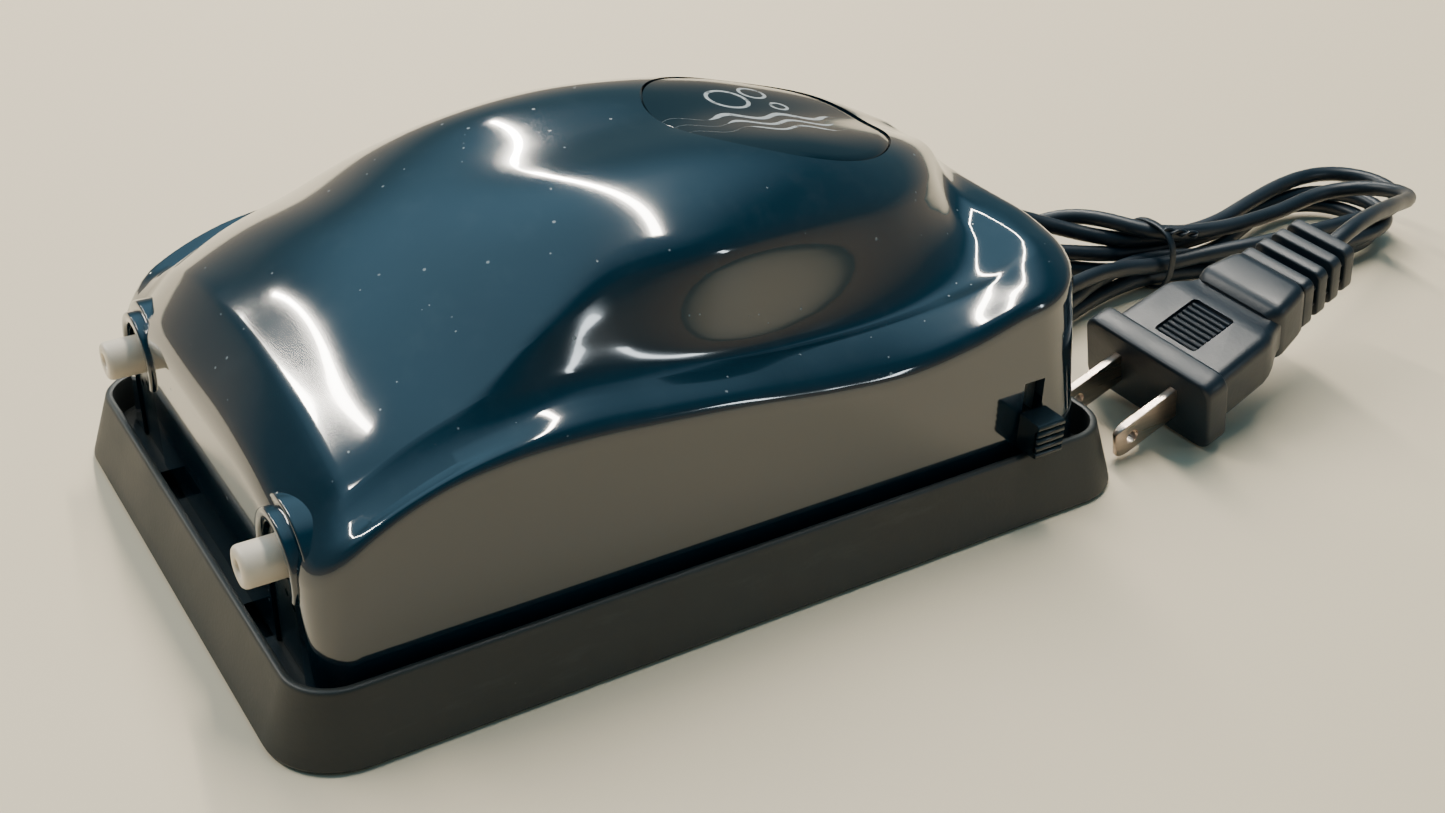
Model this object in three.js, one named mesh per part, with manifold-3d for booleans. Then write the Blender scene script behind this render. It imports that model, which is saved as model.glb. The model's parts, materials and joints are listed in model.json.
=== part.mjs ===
// A two-outlet aquarium air pump: a glossy hooded casing in a soft rubber boot, an electromagnet that
// swings two magnet arms, and a rubber diaphragm with its valves on each side.
// Millimetres. +X is the switch side, -Y the outlets, +Z up; the origin is under the middle of the boot.
import * as THREE from "three";
import { mergeVertices } from "three/addons/utils/BufferGeometryUtils.js";
import Module from "manifold-3d";

const wasm = await Module();
wasm.setup();

// ---- driving dimensions ----
const GAP = 0.3; // between pieces that touch

// rubber boot
const BOOT = { halfX: 51.4, halfY: 73.4, corner: 11, height: 11.4, flare: 3.15, rim: 1.4, floor: 2 };
const LEDGE_Z = 5.2; // the casing stands here
const LEDGE_INSET = 8.5;
const AIR_NOTCH = { width: 9, xs: [-20, 20], ys: [-28, 28] };

// upper casing
const SHELL = { halfX: 45.2, front: -65.7, rear: 66.9, wall: 2, bottom: LEDGE_Z + GAP };
const CORNER = { frontTop: 7, frontFoot: 4, rearTop: 14, rearFoot: 6 };
const FILLET = { width: 8, slopeFall: 4, slopePower: 1.25, edgeFall: 2.5, edgePower: 14 };
// loft stations: y, crown z, ridge x, ridge z, valley x, valley z, edge z, fall inside and outside the ridge
const STATIONS = [
  [-66, 35, 34, 30.5, 40, 29.5, 29, 0.5, 0.3],
  [-58, 40, 36, 34, 41, 33, 35.5, 0.5, 0.4],
  [-48, 47, 37.5, 38.5, 42, 37.5, 40, 0.5, 0.6],
  [-38, 52, 36.5, 42.5, 41, 40, 41.5, 0.5, 0.7],
  [-26, 56, 34, 48.5, 39, 41, 41.5, 0.6, 1.1],
  [-14, 58, 31.5, 52, 38, 39.5, 40.5, 0.8, 1.3],
  [0, 59, 32.5, 53, 37, 37.5, 39, 0.8, 1.6],
  [14, 59, 31, 52.5, 36, 36, 37, 0.9, 1.8],
  [28, 57, 28.5, 51, 35.5, 35.5, 36, 1, 1.9],
  [40, 54.5, 25, 49.5, 34.5, 36, 37.5, 0.9, 1.7],
  [50, 51.5, 19, 48, 33, 37.5, 40, 0.9, 1.5],
  [58, 48, 10.5, 46.5, 28, 41, 41, 0.9, 1.3],
  [64, 45.6, 2.5, 45.5, 23, 44, 41.5, 0.8, 0.9],
  [67, 45.4, 2, 45.5, 20.5, 45.5, 41.5, 0.6, 0.6],
];
const BADGE = { y: 30.5, radius: 20, depth: 1.2, plate: 0.7 };

// outlets
const OUTLET = { x: 31.5, z: 23.2, tipY: -71.2, radius: 3.1, bore: 1.25 };
const ARCH = { halfX: 5.6, z: 22.4, groove: 0.8, tongue: 2 };
const LIP = { radius: 7.4, outer: 8.9, frontY: -66.3, stepY: -64.6, backY: -54 };

// flow switch
const SWITCH = { y: 53.3, slotHalfY: 2.05, slotLow: 12.6, slotHigh: 23, stemLow: 13, stemHigh: 16.5 };
const KNOB = { lowZ: 11.7, highZ: 18, halfY: 2.8, outerX: 50.4, ridges: 5 };

// inner frame
const PLATE_TOP = 8;
const PLATE_CORNER = 8;
const POST = { radius: 3.2, bore: 1.3, front: [38, -48], rear: [37.5, 38] };
const SCREW = { shank: 1, head: 2.6, thick: 1.4 };

// electromagnet and swing arms
const CORE = { z0: 16, z1: 28, halfBarY: 6, y: 5, poleX: 21, poleThick: 4, halfPoleY: 16 };
const ARM = { x: 27.8, half: 1, y0: -40, y1: 37, z0: 17, z1: 27 };
const MAGNET = { x0: 22.8, halfY: 8, z0: 16, z1: 28 };

// diaphragm and valves
const PUMP = { y: -34, z: 22, radius: 11.4, plateX: 17.3, plateThick: 2, half: 11, boxX: 6 };

// mains cord, its bundle and plug
const CORD_RADIUS = 1.6;
const GLAND = { x: -20, z: 16, faceY: SHELL.rear, endY: 92 };
const BUNDLE = { x: -7, waistX: -4, farX: -1.2, y0: 80, y1: 196, waistY: 128, half: 14, waist: 7.5, z0: 0.9, z1: 13 };
const TIE_WIDTH = 3;
const PLUG = { x: 36.5, y: 88.2, z: 8.2, yaw: 4, tilt: 17, roll: 5, length: 47 };
const BLADE = { spacing: 12.7, width: 6.35, thick: 1.5, length: 14.4, seat: 3.5 };

// ---- materials ----
const material = (color, roughness, metalness = 0) =>
  new THREE.MeshStandardMaterial({ color, roughness, metalness });
const GLOSS_TEAL = material(0x0b2430, 0.12);
const BOOT_RUBBER = material(0x343836, 0.75);
const BASE_PLASTIC = material(0x101b20, 0.4);
const CREAM = material(0xe6d8c2, 0.45);
const BLACK_PVC = material(0x15191c, 0.5);
const SOFT_RUBBER = material(0x1a1a1a, 0.85);
const STEEL = material(0x9a9c9f, 0.35, 1);
const PLATED_BRASS = material(0xc9c3b4, 0.3, 1);
const COPPER = material(0xa85a32, 0.35, 1);
const FERRITE = material(0x3a3a3c, 0.7);
const WHITE_NYLON = material(0xd8d8d2, 0.5);
const SILVER_PRINT = material(0x16262e, 0.25, 0.2);
const FELT = material(0xcfcab8, 0.95);
const SILICONE = material(0xbfc4c2, 0.6);

// ---- solids ----
function solidOf(geometry) {
  const bare = geometry.index ? geometry.toNonIndexed() : geometry.clone();
  bare.deleteAttribute("normal");
  bare.deleteAttribute("uv");
  const merged = mergeVertices(bare, 1e-3);
  return new wasm.Manifold(
    new wasm.Mesh({
      numProp: 3,
      vertProperties: merged.attributes.position.array,
      triVerts: new Uint32Array(merged.index.array),
    }),
  );
}

function geometryOf(solid) {
  const mesh = solid.getMesh();
  const geometry = new THREE.BufferGeometry();
  geometry.setAttribute("position", new THREE.BufferAttribute(mesh.vertProperties, 3));
  geometry.setIndex(new THREE.BufferAttribute(mesh.triVerts, 1));
  geometry.computeVertexNormals();
  return geometry;
}

const joined = (...solids) => solids.reduce((a, b) => a.add(b));

// a box between two corners
function block([x0, y0, z0], [x1, y1, z1]) {
  const geometry = new THREE.BoxGeometry(x1 - x0, y1 - y0, z1 - z0);
  return solidOf(geometry.translate((x0 + x1) / 2, (y0 + y1) / 2, (z0 + z1) / 2));
}

const TURNS = {
  x: (g) => g.rotateZ(-Math.PI / 2),
  y: (g) => g,
  z: (g) => g.rotateX(Math.PI / 2),
};

// a rod along an axis; "at" gives the other two places in x, y, z order
function rod(axis, radius, from, to, at, sides = 16) {
  const geometry = TURNS[axis](new THREE.CylinderGeometry(radius, radius, to - from, sides));
  const middle = (from + to) / 2;
  const place = { x: [middle, ...at], y: [at[0], middle, at[1]], z: [...at, middle] }[axis];
  return solidOf(geometry.translate(...place));
}

// a turned piece: profile pairs of radius and place along the axis
function turned(axis, profile, at, sides = 20) {
  const points = profile.map(([radius, along]) => new THREE.Vector2(radius, along));
  const geometry = TURNS[axis](new THREE.LatheGeometry(points, sides));
  const place = { x: [0, ...at], y: [at[0], 0, at[1]], z: [...at, 0] }[axis];
  return positive(geometry.translate(...place));
}

// a solid whose faces point out, whichever way its outline ran
function positive(geometry) {
  const solid = solidOf(geometry);
  if (solid.volume() > 0) return solid;
  const index = mergeVertices(geometry.deleteAttribute("normal").deleteAttribute("uv"), 1e-3);
  const order = index.index.array;
  for (let i = 0; i < order.length; i += 3) [order[i], order[i + 1]] = [order[i + 1], order[i]];
  return solidOf(index);
}

// an outline in x, y raised from z0 to z1
function prism(shape, z0, z1, curveSegments = 8) {
  const geometry = new THREE.ExtrudeGeometry(shape, {
    depth: z1 - z0,
    bevelEnabled: false,
    curveSegments,
  });
  return solidOf(geometry.translate(0, 0, z0));
}

function roundedRectangle(halfX, halfY, radius, centreY = 0) {
  const shape = new THREE.Shape();
  const [x, y] = [halfX - radius, halfY - radius];
  shape.absarc(x, centreY - y, radius, -Math.PI / 2, 0);
  shape.absarc(x, centreY + y, radius, 0, Math.PI / 2);
  shape.absarc(-x, centreY + y, radius, Math.PI / 2, Math.PI);
  shape.absarc(-x, centreY - y, radius, Math.PI, (3 * Math.PI) / 2);
  return shape;
}

// rings of equal point counts skinned into one closed body, with fans over both ends
function skinned(rings) {
  const count = rings[0].length;
  const middle = (ring) => [0, 1, 2].map((k) => ring.reduce((sum, p) => sum + p[k], 0) / count);
  const points = [...rings.flat(), middle(rings[0]), middle(rings.at(-1))];
  const [first, last] = [points.length - 2, points.length - 1];
  const faces = [];
  for (let r = 0; r + 1 < rings.length; r++)
    for (let i = 0; i < count; i++) {
      const j = (i + 1) % count;
      const [a, b, c, d] = [r * count + i, r * count + j, (r + 1) * count + j, (r + 1) * count + i];
      faces.push(a, b, c, a, c, d);
    }
  const top = (rings.length - 1) * count;
  for (let i = 0; i < count; i++) {
    const j = (i + 1) % count;
    faces.push(first, j, i, last, top + i, top + j);
  }
  return surfaceOf(points, faces);
}

function surfaceOf(points, faces) {
  const geometry = new THREE.BufferGeometry();
  geometry.setAttribute("position", new THREE.Float32BufferAttribute(points.flat(), 3));
  geometry.setIndex(faces);
  return solidOf(geometry);
}

// the points of a rounded rectangle in a plane of constant z, counter-clockwise from above
function rectangleRing(halfX, halfY, radius, z, perCorner = 6) {
  const corners = [
    [1, -1, -90],
    [1, 1, 0],
    [-1, 1, 90],
    [-1, -1, 180],
  ];
  return corners.flatMap(([sx, sy, start]) =>
    Array.from({ length: perCorner + 1 }, (_, k) => {
      const angle = THREE.MathUtils.degToRad(start + (90 * k) / perCorner);
      const x = sx * (halfX - radius) + radius * Math.cos(angle);
      const y = sy * (halfY - radius) + radius * Math.sin(angle);
      return [x, y, z];
    }),
  );
}

// a round tube or cord along a smooth curve through points
function cable(points, radius, steps, sides = 8) {
  const path = new THREE.CatmullRomCurve3(points.map((p) => new THREE.Vector3(...p)));
  return positive(
    new THREE.ExtrudeGeometry(circle(radius, sides), { extrudePath: path, steps, bevelEnabled: false }),
  );
}

function circle(radius, sides) {
  const shape = new THREE.Shape();
  for (let i = 0; i < sides; i++) {
    const angle = (2 * Math.PI * i) / sides;
    const [x, y] = [radius * Math.cos(angle), radius * Math.sin(angle)];
    if (i === 0) shape.moveTo(x, y);
    else shape.lineTo(x, y);
  }
  return shape.closePath();
}

// ---- the shape of the hood ----
const hermite = (t, a, b, slopeA, slopeB) =>
  (2 * t ** 3 - 3 * t ** 2 + 1) * a +
  (t ** 3 - 2 * t ** 2 + t) * slopeA +
  (3 * t ** 2 - 2 * t ** 3) * b +
  (t ** 3 - t ** 2) * slopeB;

// a smooth curve along y through one column of the stations
function lengthwise(column) {
  const at = (i) => STATIONS[i];
  const last = STATIONS.length - 1;
  const slope = (i) => {
    const [a, b] = [at(Math.max(i - 1, 0)), at(Math.min(i + 1, last))];
    return (b[column] - a[column]) / (b[0] - a[0]);
  };
  return (y) => {
    let i = 0;
    while (i < last - 1 && y > at(i + 1)[0]) i++;
    const span = at(i + 1)[0] - at(i)[0];
    const t = THREE.MathUtils.clamp((y - at(i)[0]) / span, 0, 1);
    return hermite(t, at(i)[column], at(i + 1)[column], slope(i) * span, slope(i + 1) * span);
  };
}

const [crownZ, ridgeX, ridgeZ, valleyX, valleyZ, edgeZ, innerFall, outerFall] = [1, 2, 3, 4, 5, 6, 7, 8].map(
  lengthwise,
);

const cornerRadius = (y) => (y < 0 ? CORNER.frontTop : CORNER.rearTop);

// how far a place lies inside the casing's outline
function depthInside(x, y) {
  const radius = cornerRadius(y);
  const halfY = (SHELL.rear - SHELL.front) / 2;
  const qx = Math.abs(x) - (SHELL.halfX - radius);
  const qy = Math.abs(y - (SHELL.front + SHELL.rear) / 2) - (halfY - radius);
  const outside = Math.hypot(Math.max(qx, 0), Math.max(qy, 0));
  return radius - outside - Math.min(Math.max(qx, qy), 0);
}

// height of the hood before its outer edge is rounded
function hoodZ(x, y) {
  const across = Math.abs(x);
  const [kx, kz, gz] = [ridgeX(y), ridgeZ(y), valleyZ(y)];
  const gx = Math.max(valleyX(y), kx + 2);
  if (across < kx) return hermite(across / kx, crownZ(y), kz, 0, -innerFall(y) * kx);
  if (across < gx) {
    const width = gx - kx;
    const fall = Math.min(outerFall(y) * width, 3 * Math.max(kz - gz, 0));
    return hermite((across - kx) / width, kz, gz, -fall, 0);
  }
  return hermite((across - gx) / (SHELL.halfX - gx), gz, edgeZ(y), 0, 0);
}

function shellZ(x, y) {
  const t = THREE.MathUtils.clamp(1 - depthInside(x, y) / FILLET.width, 0, 1);
  const slope = FILLET.slopeFall * t ** FILLET.slopePower;
  const edge = FILLET.edgeFall * (1 - Math.sqrt(1 - t ** FILLET.edgePower));
  return hoodZ(x, y) - slope - edge;
}

// half of the casing's width at a place along it
function halfWidth(y) {
  const radius = cornerRadius(y);
  const end = y < 0 ? SHELL.front + radius - y : y - (SHELL.rear - radius);
  const lost = end > 0 ? radius - Math.sqrt(Math.max(radius ** 2 - end ** 2, 0)) : 0;
  return SHELL.halfX - lost;
}

// where a point of the top outline stands at the wall's foot, whose corners are tighter
function atFoot([x, y]) {
  const front = y < 0;
  const [top, foot] = front ? [CORNER.frontTop, CORNER.frontFoot] : [CORNER.rearTop, CORNER.rearFoot];
  const end = front ? SHELL.front : SHELL.rear;
  const [sx, sy] = [Math.sign(x), front ? -1 : 1];
  const dx = Math.abs(x) - (SHELL.halfX - top);
  const dy = Math.abs(y) - (Math.abs(end) - top);
  if (dx > 0 && dy > 0) {
    const k = foot / top;
    return [sx * (SHELL.halfX - foot + dx * k), sy * (Math.abs(end) - foot + dy * k), SHELL.bottom];
  }
  const stretchX = (SHELL.halfX - foot) / (SHELL.halfX - top);
  const stretchY = (Math.abs(end) - foot) / (Math.abs(end) - top);
  return [dy > 0 ? x * stretchX : x, dx > 0 ? y * stretchY : y, SHELL.bottom];
}

// places along and across the hood where its mesh has lines
const EDGE_STEPS = [0, 0.12, 0.5, 1.2, 4, 8];
const ROWS = [
  ...EDGE_STEPS.map((d) => SHELL.front + d),
  ...[-51, -44, -36, -28, -20, -12, -4, 5, 14, 23, 32, 41, 49, 55],
  ...EDGE_STEPS.map((d) => SHELL.rear - d).reverse(),
];

function columnsAt(y) {
  const w = halfWidth(y);
  const inner = w - FILLET.width;
  const valley = Math.min(valleyX(y), inner - 0.5);
  const ridge = Math.min(ridgeX(y), valley - 2);
  const half = [ridge / 2, ridge, (ridge + valley) / 2, valley, ...EDGE_STEPS.map((d) => w - d).reverse()];
  return [...half.map((x) => -x).reverse(), 0, ...half];
}

function hoodShell() {
  const outer = ROWS.map((y) => columnsAt(y).map((x) => [x, y, shellZ(x, y)]));
  const [narrow, short] = [1 - SHELL.wall / SHELL.halfX, 1 - SHELL.wall / SHELL.rear];
  const inwards = ([x, y, z], drop) => [x * narrow, y * short, z - drop];
  const inner = outer.map((row) => row.map((p) => inwards(p, SHELL.wall * 1.1)));
  const [rows, columns] = [ROWS.length, outer[0].length];

  const rim = [];
  for (let c = 0; c < columns - 1; c++) rim.push(c);
  for (let r = 0; r < rows - 1; r++) rim.push(r * columns + columns - 1);
  for (let c = columns - 1; c > 0; c--) rim.push((rows - 1) * columns + c);
  for (let r = rows - 1; r > 0; r--) rim.push(r * columns);

  const outerTop = outer.flat();
  const innerTop = inner.flat();
  const outerFoot = rim.map((i) => atFoot(outerTop[i]));
  const innerFoot = outerFoot.map((p) => inwards(p, 0));
  const points = [...outerTop, ...innerTop, ...outerFoot, ...innerFoot];
  const innerBase = outerTop.length;
  const outerFootBase = 2 * innerBase;
  const innerFootBase = outerFootBase + rim.length;

  const faces = [];
  for (let r = 0; r + 1 < rows; r++)
    for (let c = 0; c + 1 < columns; c++) {
      const a = r * columns + c;
      const [b, d, e] = [a + 1, a + columns + 1, a + columns];
      faces.push(a, b, d, a, d, e);
      faces.push(innerBase + a, innerBase + d, innerBase + b, innerBase + a, innerBase + e, innerBase + d);
    }
  rim.forEach((a, i) => {
    const j = (i + 1) % rim.length;
    const b = rim[j];
    const [af, bf, an, bn] = [outerFootBase + i, outerFootBase + j, innerFootBase + i, innerFootBase + j];
    faces.push(af, bf, b, af, b, a);
    faces.push(an, innerBase + b, bn, an, innerBase + a, innerBase + b);
    faces.push(af, an, bn, af, bn, bf);
  });
  return surfaceOf(points, faces);
}

// a disc that follows the hood, between two heights above its surface
function hoodDisc(radius, low, high, rings = 5, sides = 32) {
  const points = [];
  for (const lift of [low, high]) {
    points.push([0, BADGE.y, shellZ(0, BADGE.y) + lift]);
    for (let r = 1; r <= rings; r++)
      for (let i = 0; i < sides; i++) {
        const angle = (2 * Math.PI * i) / sides;
        const x = ((radius * r) / rings) * Math.cos(angle);
        const y = BADGE.y + ((radius * r) / rings) * Math.sin(angle);
        points.push([x, y, shellZ(x, y) + lift]);
      }
  }
  const layer = 1 + rings * sides;
  const at = (top, r, i) => (top ? layer : 0) + 1 + (r - 1) * sides + (i % sides);
  const faces = [];
  for (let i = 0; i < sides; i++) {
    faces.push(layer, at(1, 1, i), at(1, 1, i + 1), 0, at(0, 1, i + 1), at(0, 1, i));
    for (let r = 1; r < rings; r++) {
      const [a, b, c, d] = [at(1, r, i), at(1, r, i + 1), at(1, r + 1, i + 1), at(1, r + 1, i)];
      faces.push(a, d, c, a, c, b);
      const [e, f, g, h] = [a, b, c, d].map((v) => v - layer);
      faces.push(e, g, h, e, f, g);
    }
    const [p, q] = [at(1, rings, i), at(1, rings, i + 1)];
    faces.push(p, p - layer, q - layer, p, q - layer, q);
  }
  return surfaceOf(points, faces);
}

// ---- pieces ----
const pump = new THREE.Group();

function piece(name, solid, look, parent = pump) {
  const mesh = new THREE.Mesh(geometryOf(solid), look);
  mesh.name = name;
  parent.add(mesh);
  return mesh;
}

const SIDES = [
  ["right", 1],
  ["left", -1],
];

// the same solid on the other side of the middle plane
function mirrored(solid, side) {
  if (side > 0) return solid;
  const mesh = solid.getMesh();
  const points = Float32Array.from(mesh.vertProperties, (v, i) => (i % 3 === 0 ? -v : v));
  const faces = Uint32Array.from(mesh.triVerts);
  for (let i = 0; i < faces.length; i += 3) [faces[i], faces[i + 1]] = [faces[i + 1], faces[i]];
  return new wasm.Manifold(new wasm.Mesh({ numProp: 3, vertProperties: points, triVerts: faces }));
}

function rubberBoot() {
  const { halfX, halfY, corner, height, flare, rim, floor } = BOOT;
  const ring = (inset, z) => rectangleRing(halfX - inset, halfY - inset, Math.max(corner - inset, 3), z);
  const edge = 0.5;
  let boot = skinned([
    ring(edge, 0),
    ring(0, edge),
    ring(flare, height - edge),
    ring(flare + edge, height),
    ring(flare + rim - edge, height),
    ring(flare + rim, height - edge),
    ring(flare + rim, LEDGE_Z),
    ring(LEDGE_INSET + flare, LEDGE_Z),
    ring(LEDGE_INSET + flare, floor),
  ]);
  const reach = halfY;
  const half = AIR_NOTCH.width / 2;
  const inner = { x: halfX - flare - rim - 0.5, y: halfY - flare - rim - 0.5 };
  for (const x of AIR_NOTCH.xs)
    boot = boot.subtract(block([x - half, -inner.y, floor], [x + half, inner.y, LEDGE_Z + reach]));
  for (const y of AIR_NOTCH.ys)
    boot = boot.subtract(block([-inner.x, y - half, floor], [inner.x, y + half, LEDGE_Z + reach]));
  return boot;
}

const POSTS = [POST.front, POST.rear].flatMap(([x, y]) => [
  [x, y],
  [-x, y],
]);

function upperCasing() {
  let shell = hoodShell();
  // arched lips over the outlets, in two steps
  for (const side of [1, -1]) {
    const at = [side * OUTLET.x, OUTLET.z - 0.6];
    const lips = rod("y", LIP.outer, LIP.stepY, LIP.backY, at, 32).add(
      rod("y", LIP.radius, LIP.frontY, LIP.backY, at, 32),
    );
    const upperHalf = block([side * OUTLET.x - 13, -70, OUTLET.z - 4], [side * OUTLET.x + 13, -50, 50]);
    shell = shell.add(lips.intersect(upperHalf).intersect(lipEnvelope()));
  }
  // screw posts hang from the hood
  for (const [x, y] of POSTS) {
    const reach = [-POST.radius, POST.radius];
    const top = Math.min(...reach.flatMap((d) => [shellZ(x + d, y), shellZ(x, y + d)])) - SHELL.wall / 2;
    shell = shell.add(rod("z", POST.radius, PLATE_TOP + GAP, top, [x, y], 12));
    shell = shell.subtract(rod("z", POST.bore, PLATE_TOP - 5, top - 12, [x, y], 10));
  }
  for (const side of [1, -1]) shell = shell.subtract(archCut(side));
  shell = shell.subtract(
    block(
      [SHELL.halfX - 5, SWITCH.y - SWITCH.slotHalfY, SWITCH.slotLow],
      [SHELL.halfX + 5, SWITCH.y + SWITCH.slotHalfY, SWITCH.slotHigh],
    ),
  );
  shell = shell.subtract(rod("y", 3.4, SHELL.rear - 6, SHELL.rear + 6, [GLAND.x, GLAND.z], 16));
  return shell.subtract(hoodDisc(BADGE.radius + GAP, -BADGE.depth, 3));
}

// the lips stay within the front wall's reach and above the inside of the hood
function lipEnvelope() {
  return block([-44.6, LIP.frontY, 8], [44.6, SHELL.front + 9, 34.2]).subtract(
    block([-42, SHELL.front + SHELL.wall, 8], [42, 0, 29.5]),
  );
}

// the arch and slot in the front wall that a tongue of the lower casing fills
function archCut(side) {
  const x = side * OUTLET.x;
  const [y0, y1] = [SHELL.front - 4, SHELL.front + 5];
  return rod("y", ARCH.halfX, y0, y1, [x, ARCH.z], 24).add(
    block([x - ARCH.halfX, y0, 0], [x + ARCH.halfX, y1, ARCH.z]),
  );
}

function lowerCasing() {
  const margin = SHELL.wall + GAP + 0.2;
  const middle = (SHELL.front + SHELL.rear) / 2;
  const halfY = (SHELL.rear - SHELL.front) / 2 - margin;
  const floor = roundedRectangle(SHELL.halfX - margin, halfY, PLATE_CORNER, middle);
  let base = prism(floor, SHELL.bottom, PLATE_TOP, 4);
  const half = ARCH.halfX - ARCH.groove;
  for (const side of [1, -1]) {
    const x = side * OUTLET.x;
    const front = SHELL.front + 0.5;
    const tongue = block([x - half, front, SHELL.bottom], [x + half, front + ARCH.tongue + 1, ARCH.z]);
    base = base.add(tongue.add(rod("y", half, front, front + ARCH.tongue + 1, [x, ARCH.z], 24)));
    base = base.subtract(rod("y", OUTLET.radius + GAP, front - 1, front + 6, [x, OUTLET.z], 20));
    for (const [dx, z] of [
      [0.5, 17.4],
      [3, 16.4],
    ])
      base = base.subtract(rod("y", 0.6, front - 1, front + 1.2, [x + side * dx, z], 8));
  }
  for (const [x, y] of POSTS) {
    base = base.subtract(rod("z", POST.bore, 0, 20, [x, y], 10));
    base = base.subtract(rod("z", SCREW.head + GAP, 0, SHELL.bottom + SCREW.thick + GAP, [x, y], 12));
  }
  // posts under the electromagnet, valve boxes and arm mounts, and the filter's seat
  for (const [x, y] of CORE_SCREWS)
    base = base.add(rod("z", 3, PLATE_TOP - 1, CORE.z0 - GAP, [x, y], 12)).subtract(
      rod("z", POST.bore, PLATE_TOP, 30, [x, y], 10),
    );
  for (const side of [1, -1]) {
    const x = side * (PUMP.boxX + 5);
    base = base.add(block([x - 4, PUMP.y - 9, PLATE_TOP - 1], [x + 4, PUMP.y + 9, 10.7]));
    base = base.add(block([side * 29 - 3, 32, PLATE_TOP - 1], [side * 29 + 3, 42, 13.7]));
  }
  const filter = rod("z", FILTER.radius + 1.5, PLATE_TOP - 1, PLATE_TOP + 3, FILTER.at, 28);
  const seat = rod("z", FILTER.radius + GAP, PLATE_TOP - 0.5, PLATE_TOP + 4, FILTER.at, 28);
  base = base.add(filter).subtract(seat);
  for (let i = 0; i < FILTER.holes; i++) {
    const angle = (2 * Math.PI * i) / FILTER.holes;
    const at = [FILTER.at[0] + 5 * Math.cos(angle), FILTER.at[1] + 5 * Math.sin(angle)];
    base = base.subtract(rod("z", 1.2, 0, 12, at, 8));
  }
  return base;
}

const FILTER = { at: [0, 50], radius: 8.5, holes: 6 };

const CORE_SCREWS = [
  [CORE.poleX - 2, CORE.y + CORE.halfPoleY - 2.6],
  [-(CORE.poleX - 2), CORE.y - CORE.halfPoleY + 2.6],
];

// a countersunk or pan screw standing along z, head down or up
function screw(x, y, headZ, tipZ, head = SCREW.head) {
  const down = tipZ > headZ ? 1 : -1;
  const thick = SCREW.thick;
  const shank = [headZ + down * thick * 0.5, tipZ].sort((a, b) => a - b);
  const cap = [headZ, headZ + down * thick].sort((a, b) => a - b);
  const slot = [headZ - down, headZ + down * 0.5].sort((a, b) => a - b);
  const body = rod("z", head, ...cap, [x, y], 12).add(rod("z", SCREW.shank, ...shank, [x, y], 8));
  const drive = (dx, dy) => block([x - dx, y - dy, slot[0]], [x + dx, y + dy, slot[1]]);
  return body.subtract(drive(1.5, 0.3)).subtract(drive(0.3, 1.5));
}

function outletNozzle(side) {
  const { tipY, radius, bore } = OUTLET;
  const inner = SHELL.front + 0.5 + ARCH.tongue + 1 + GAP;
  const profile = [
    [bore, tipY],
    [radius - 0.5, tipY],
    [radius, tipY + 0.6],
    [radius, inner],
    [radius + 1.3, inner],
    [radius + 1.3, inner + 1.3],
    [1.6, inner + 1.3],
    [1.6, inner + 4.3],
    [0.9, inner + 4.3],
    [0.9, -64],
    [bore, -65],
    [bore, tipY],
  ];
  return turned("y", profile, [side * OUTLET.x, OUTLET.z]);
}

const NOZZLE_INNER_Y = SHELL.front + 0.5 + ARCH.tongue + 1 + GAP + 1.3;

// soft hose from the valve box's spigot to the outlet
function airTube() {
  const points = [
    [11.5, -39, 34],
    [11.8, -39.2, 37.5],
    [15.5, -41, 40.5],
    [22, -45, 38.5],
    [28, -50, 31],
    [31.2, -54.5, 24.6],
    [OUTLET.x, -57.2, OUTLET.z],
    [OUTLET.x, NOZZLE_INNER_Y + GAP, OUTLET.z],
  ];
  const path = new THREE.CatmullRomCurve3(points.map((p) => new THREE.Vector3(...p)));
  const ring = circle(2.9, 8);
  ring.holes.push(circle(2, 8));
  return positive(new THREE.ExtrudeGeometry(ring, { extrudePath: path, steps: 14, bevelEnabled: false }));
}

function valveBox() {
  const { y, z, half, boxX, plateX } = PUMP;
  const [x0, x1] = [boxX, plateX - GAP];
  let box = block([x0, y - half, z - half], [x1, y + half, z + half]);
  const wall = 1.6;
  box = box.subtract(block([x0 + wall, y - half + wall, z - half + wall], [x1 + 1, y - wall / 2, z + half - wall]));
  box = box.subtract(block([x0 + wall, y + wall / 2, z - half + wall], [x1 + 1, y + half - wall, z + half - wall]));
  box = box.add(rod("z", 1.6, z + half - 0.5, z + half + 4.5, [11.5, -39], 12));
  box = box.subtract(rod("z", 0.9, z + half - 4, z + half + 6, [11.5, -39], 8));
  return box.subtract(rod("y", 1.5, y + half - 3, y + half + 1, [11.5, z], 8));
}

const VALVE_Y = { outlet: PUMP.y - 4.8, intake: PUMP.y + 4.8 };

function valvePlate() {
  const { y, z, half, plateX, plateThick } = PUMP;
  let plate = block([plateX, y - half, z - half], [plateX + plateThick, y + half, z + half]);
  for (const place of [VALVE_Y.outlet, VALVE_Y.intake])
    for (const dz of [-1.4, 1.4])
      plate = plate.subtract(rod("x", 0.8, plateX - 1, plateX + plateThick + 1, [place, z + dz], 8));
  return plate;
}

function flap(x, place) {
  return rod("x", 3, x, x + 0.7, [place, PUMP.z], 16);
}

function diaphragm() {
  const { y, z, radius, plateX, plateThick } = PUMP;
  const x0 = plateX + plateThick + GAP;
  const x1 = ARM.x - ARM.half - GAP;
  const profile = [
    [1.3, x1],
    [5, x1],
    [6.5, x1 - 1.2],
    [radius - 1, x0 + 2.8],
    [radius, x0 + 1.8],
    [radius, x0],
    [radius - 1.6, x0],
    [radius - 1.8, x0 + 1.6],
    [radius - 2.6, x0 + 2.2],
    [5.4, x1 - 2.2],
    [4.4, x1 - 1.4],
    [1.3, x1 - 1.4],
    [1.3, x1],
  ];
  return turned("x", profile, [y, z], 24);
}

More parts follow.
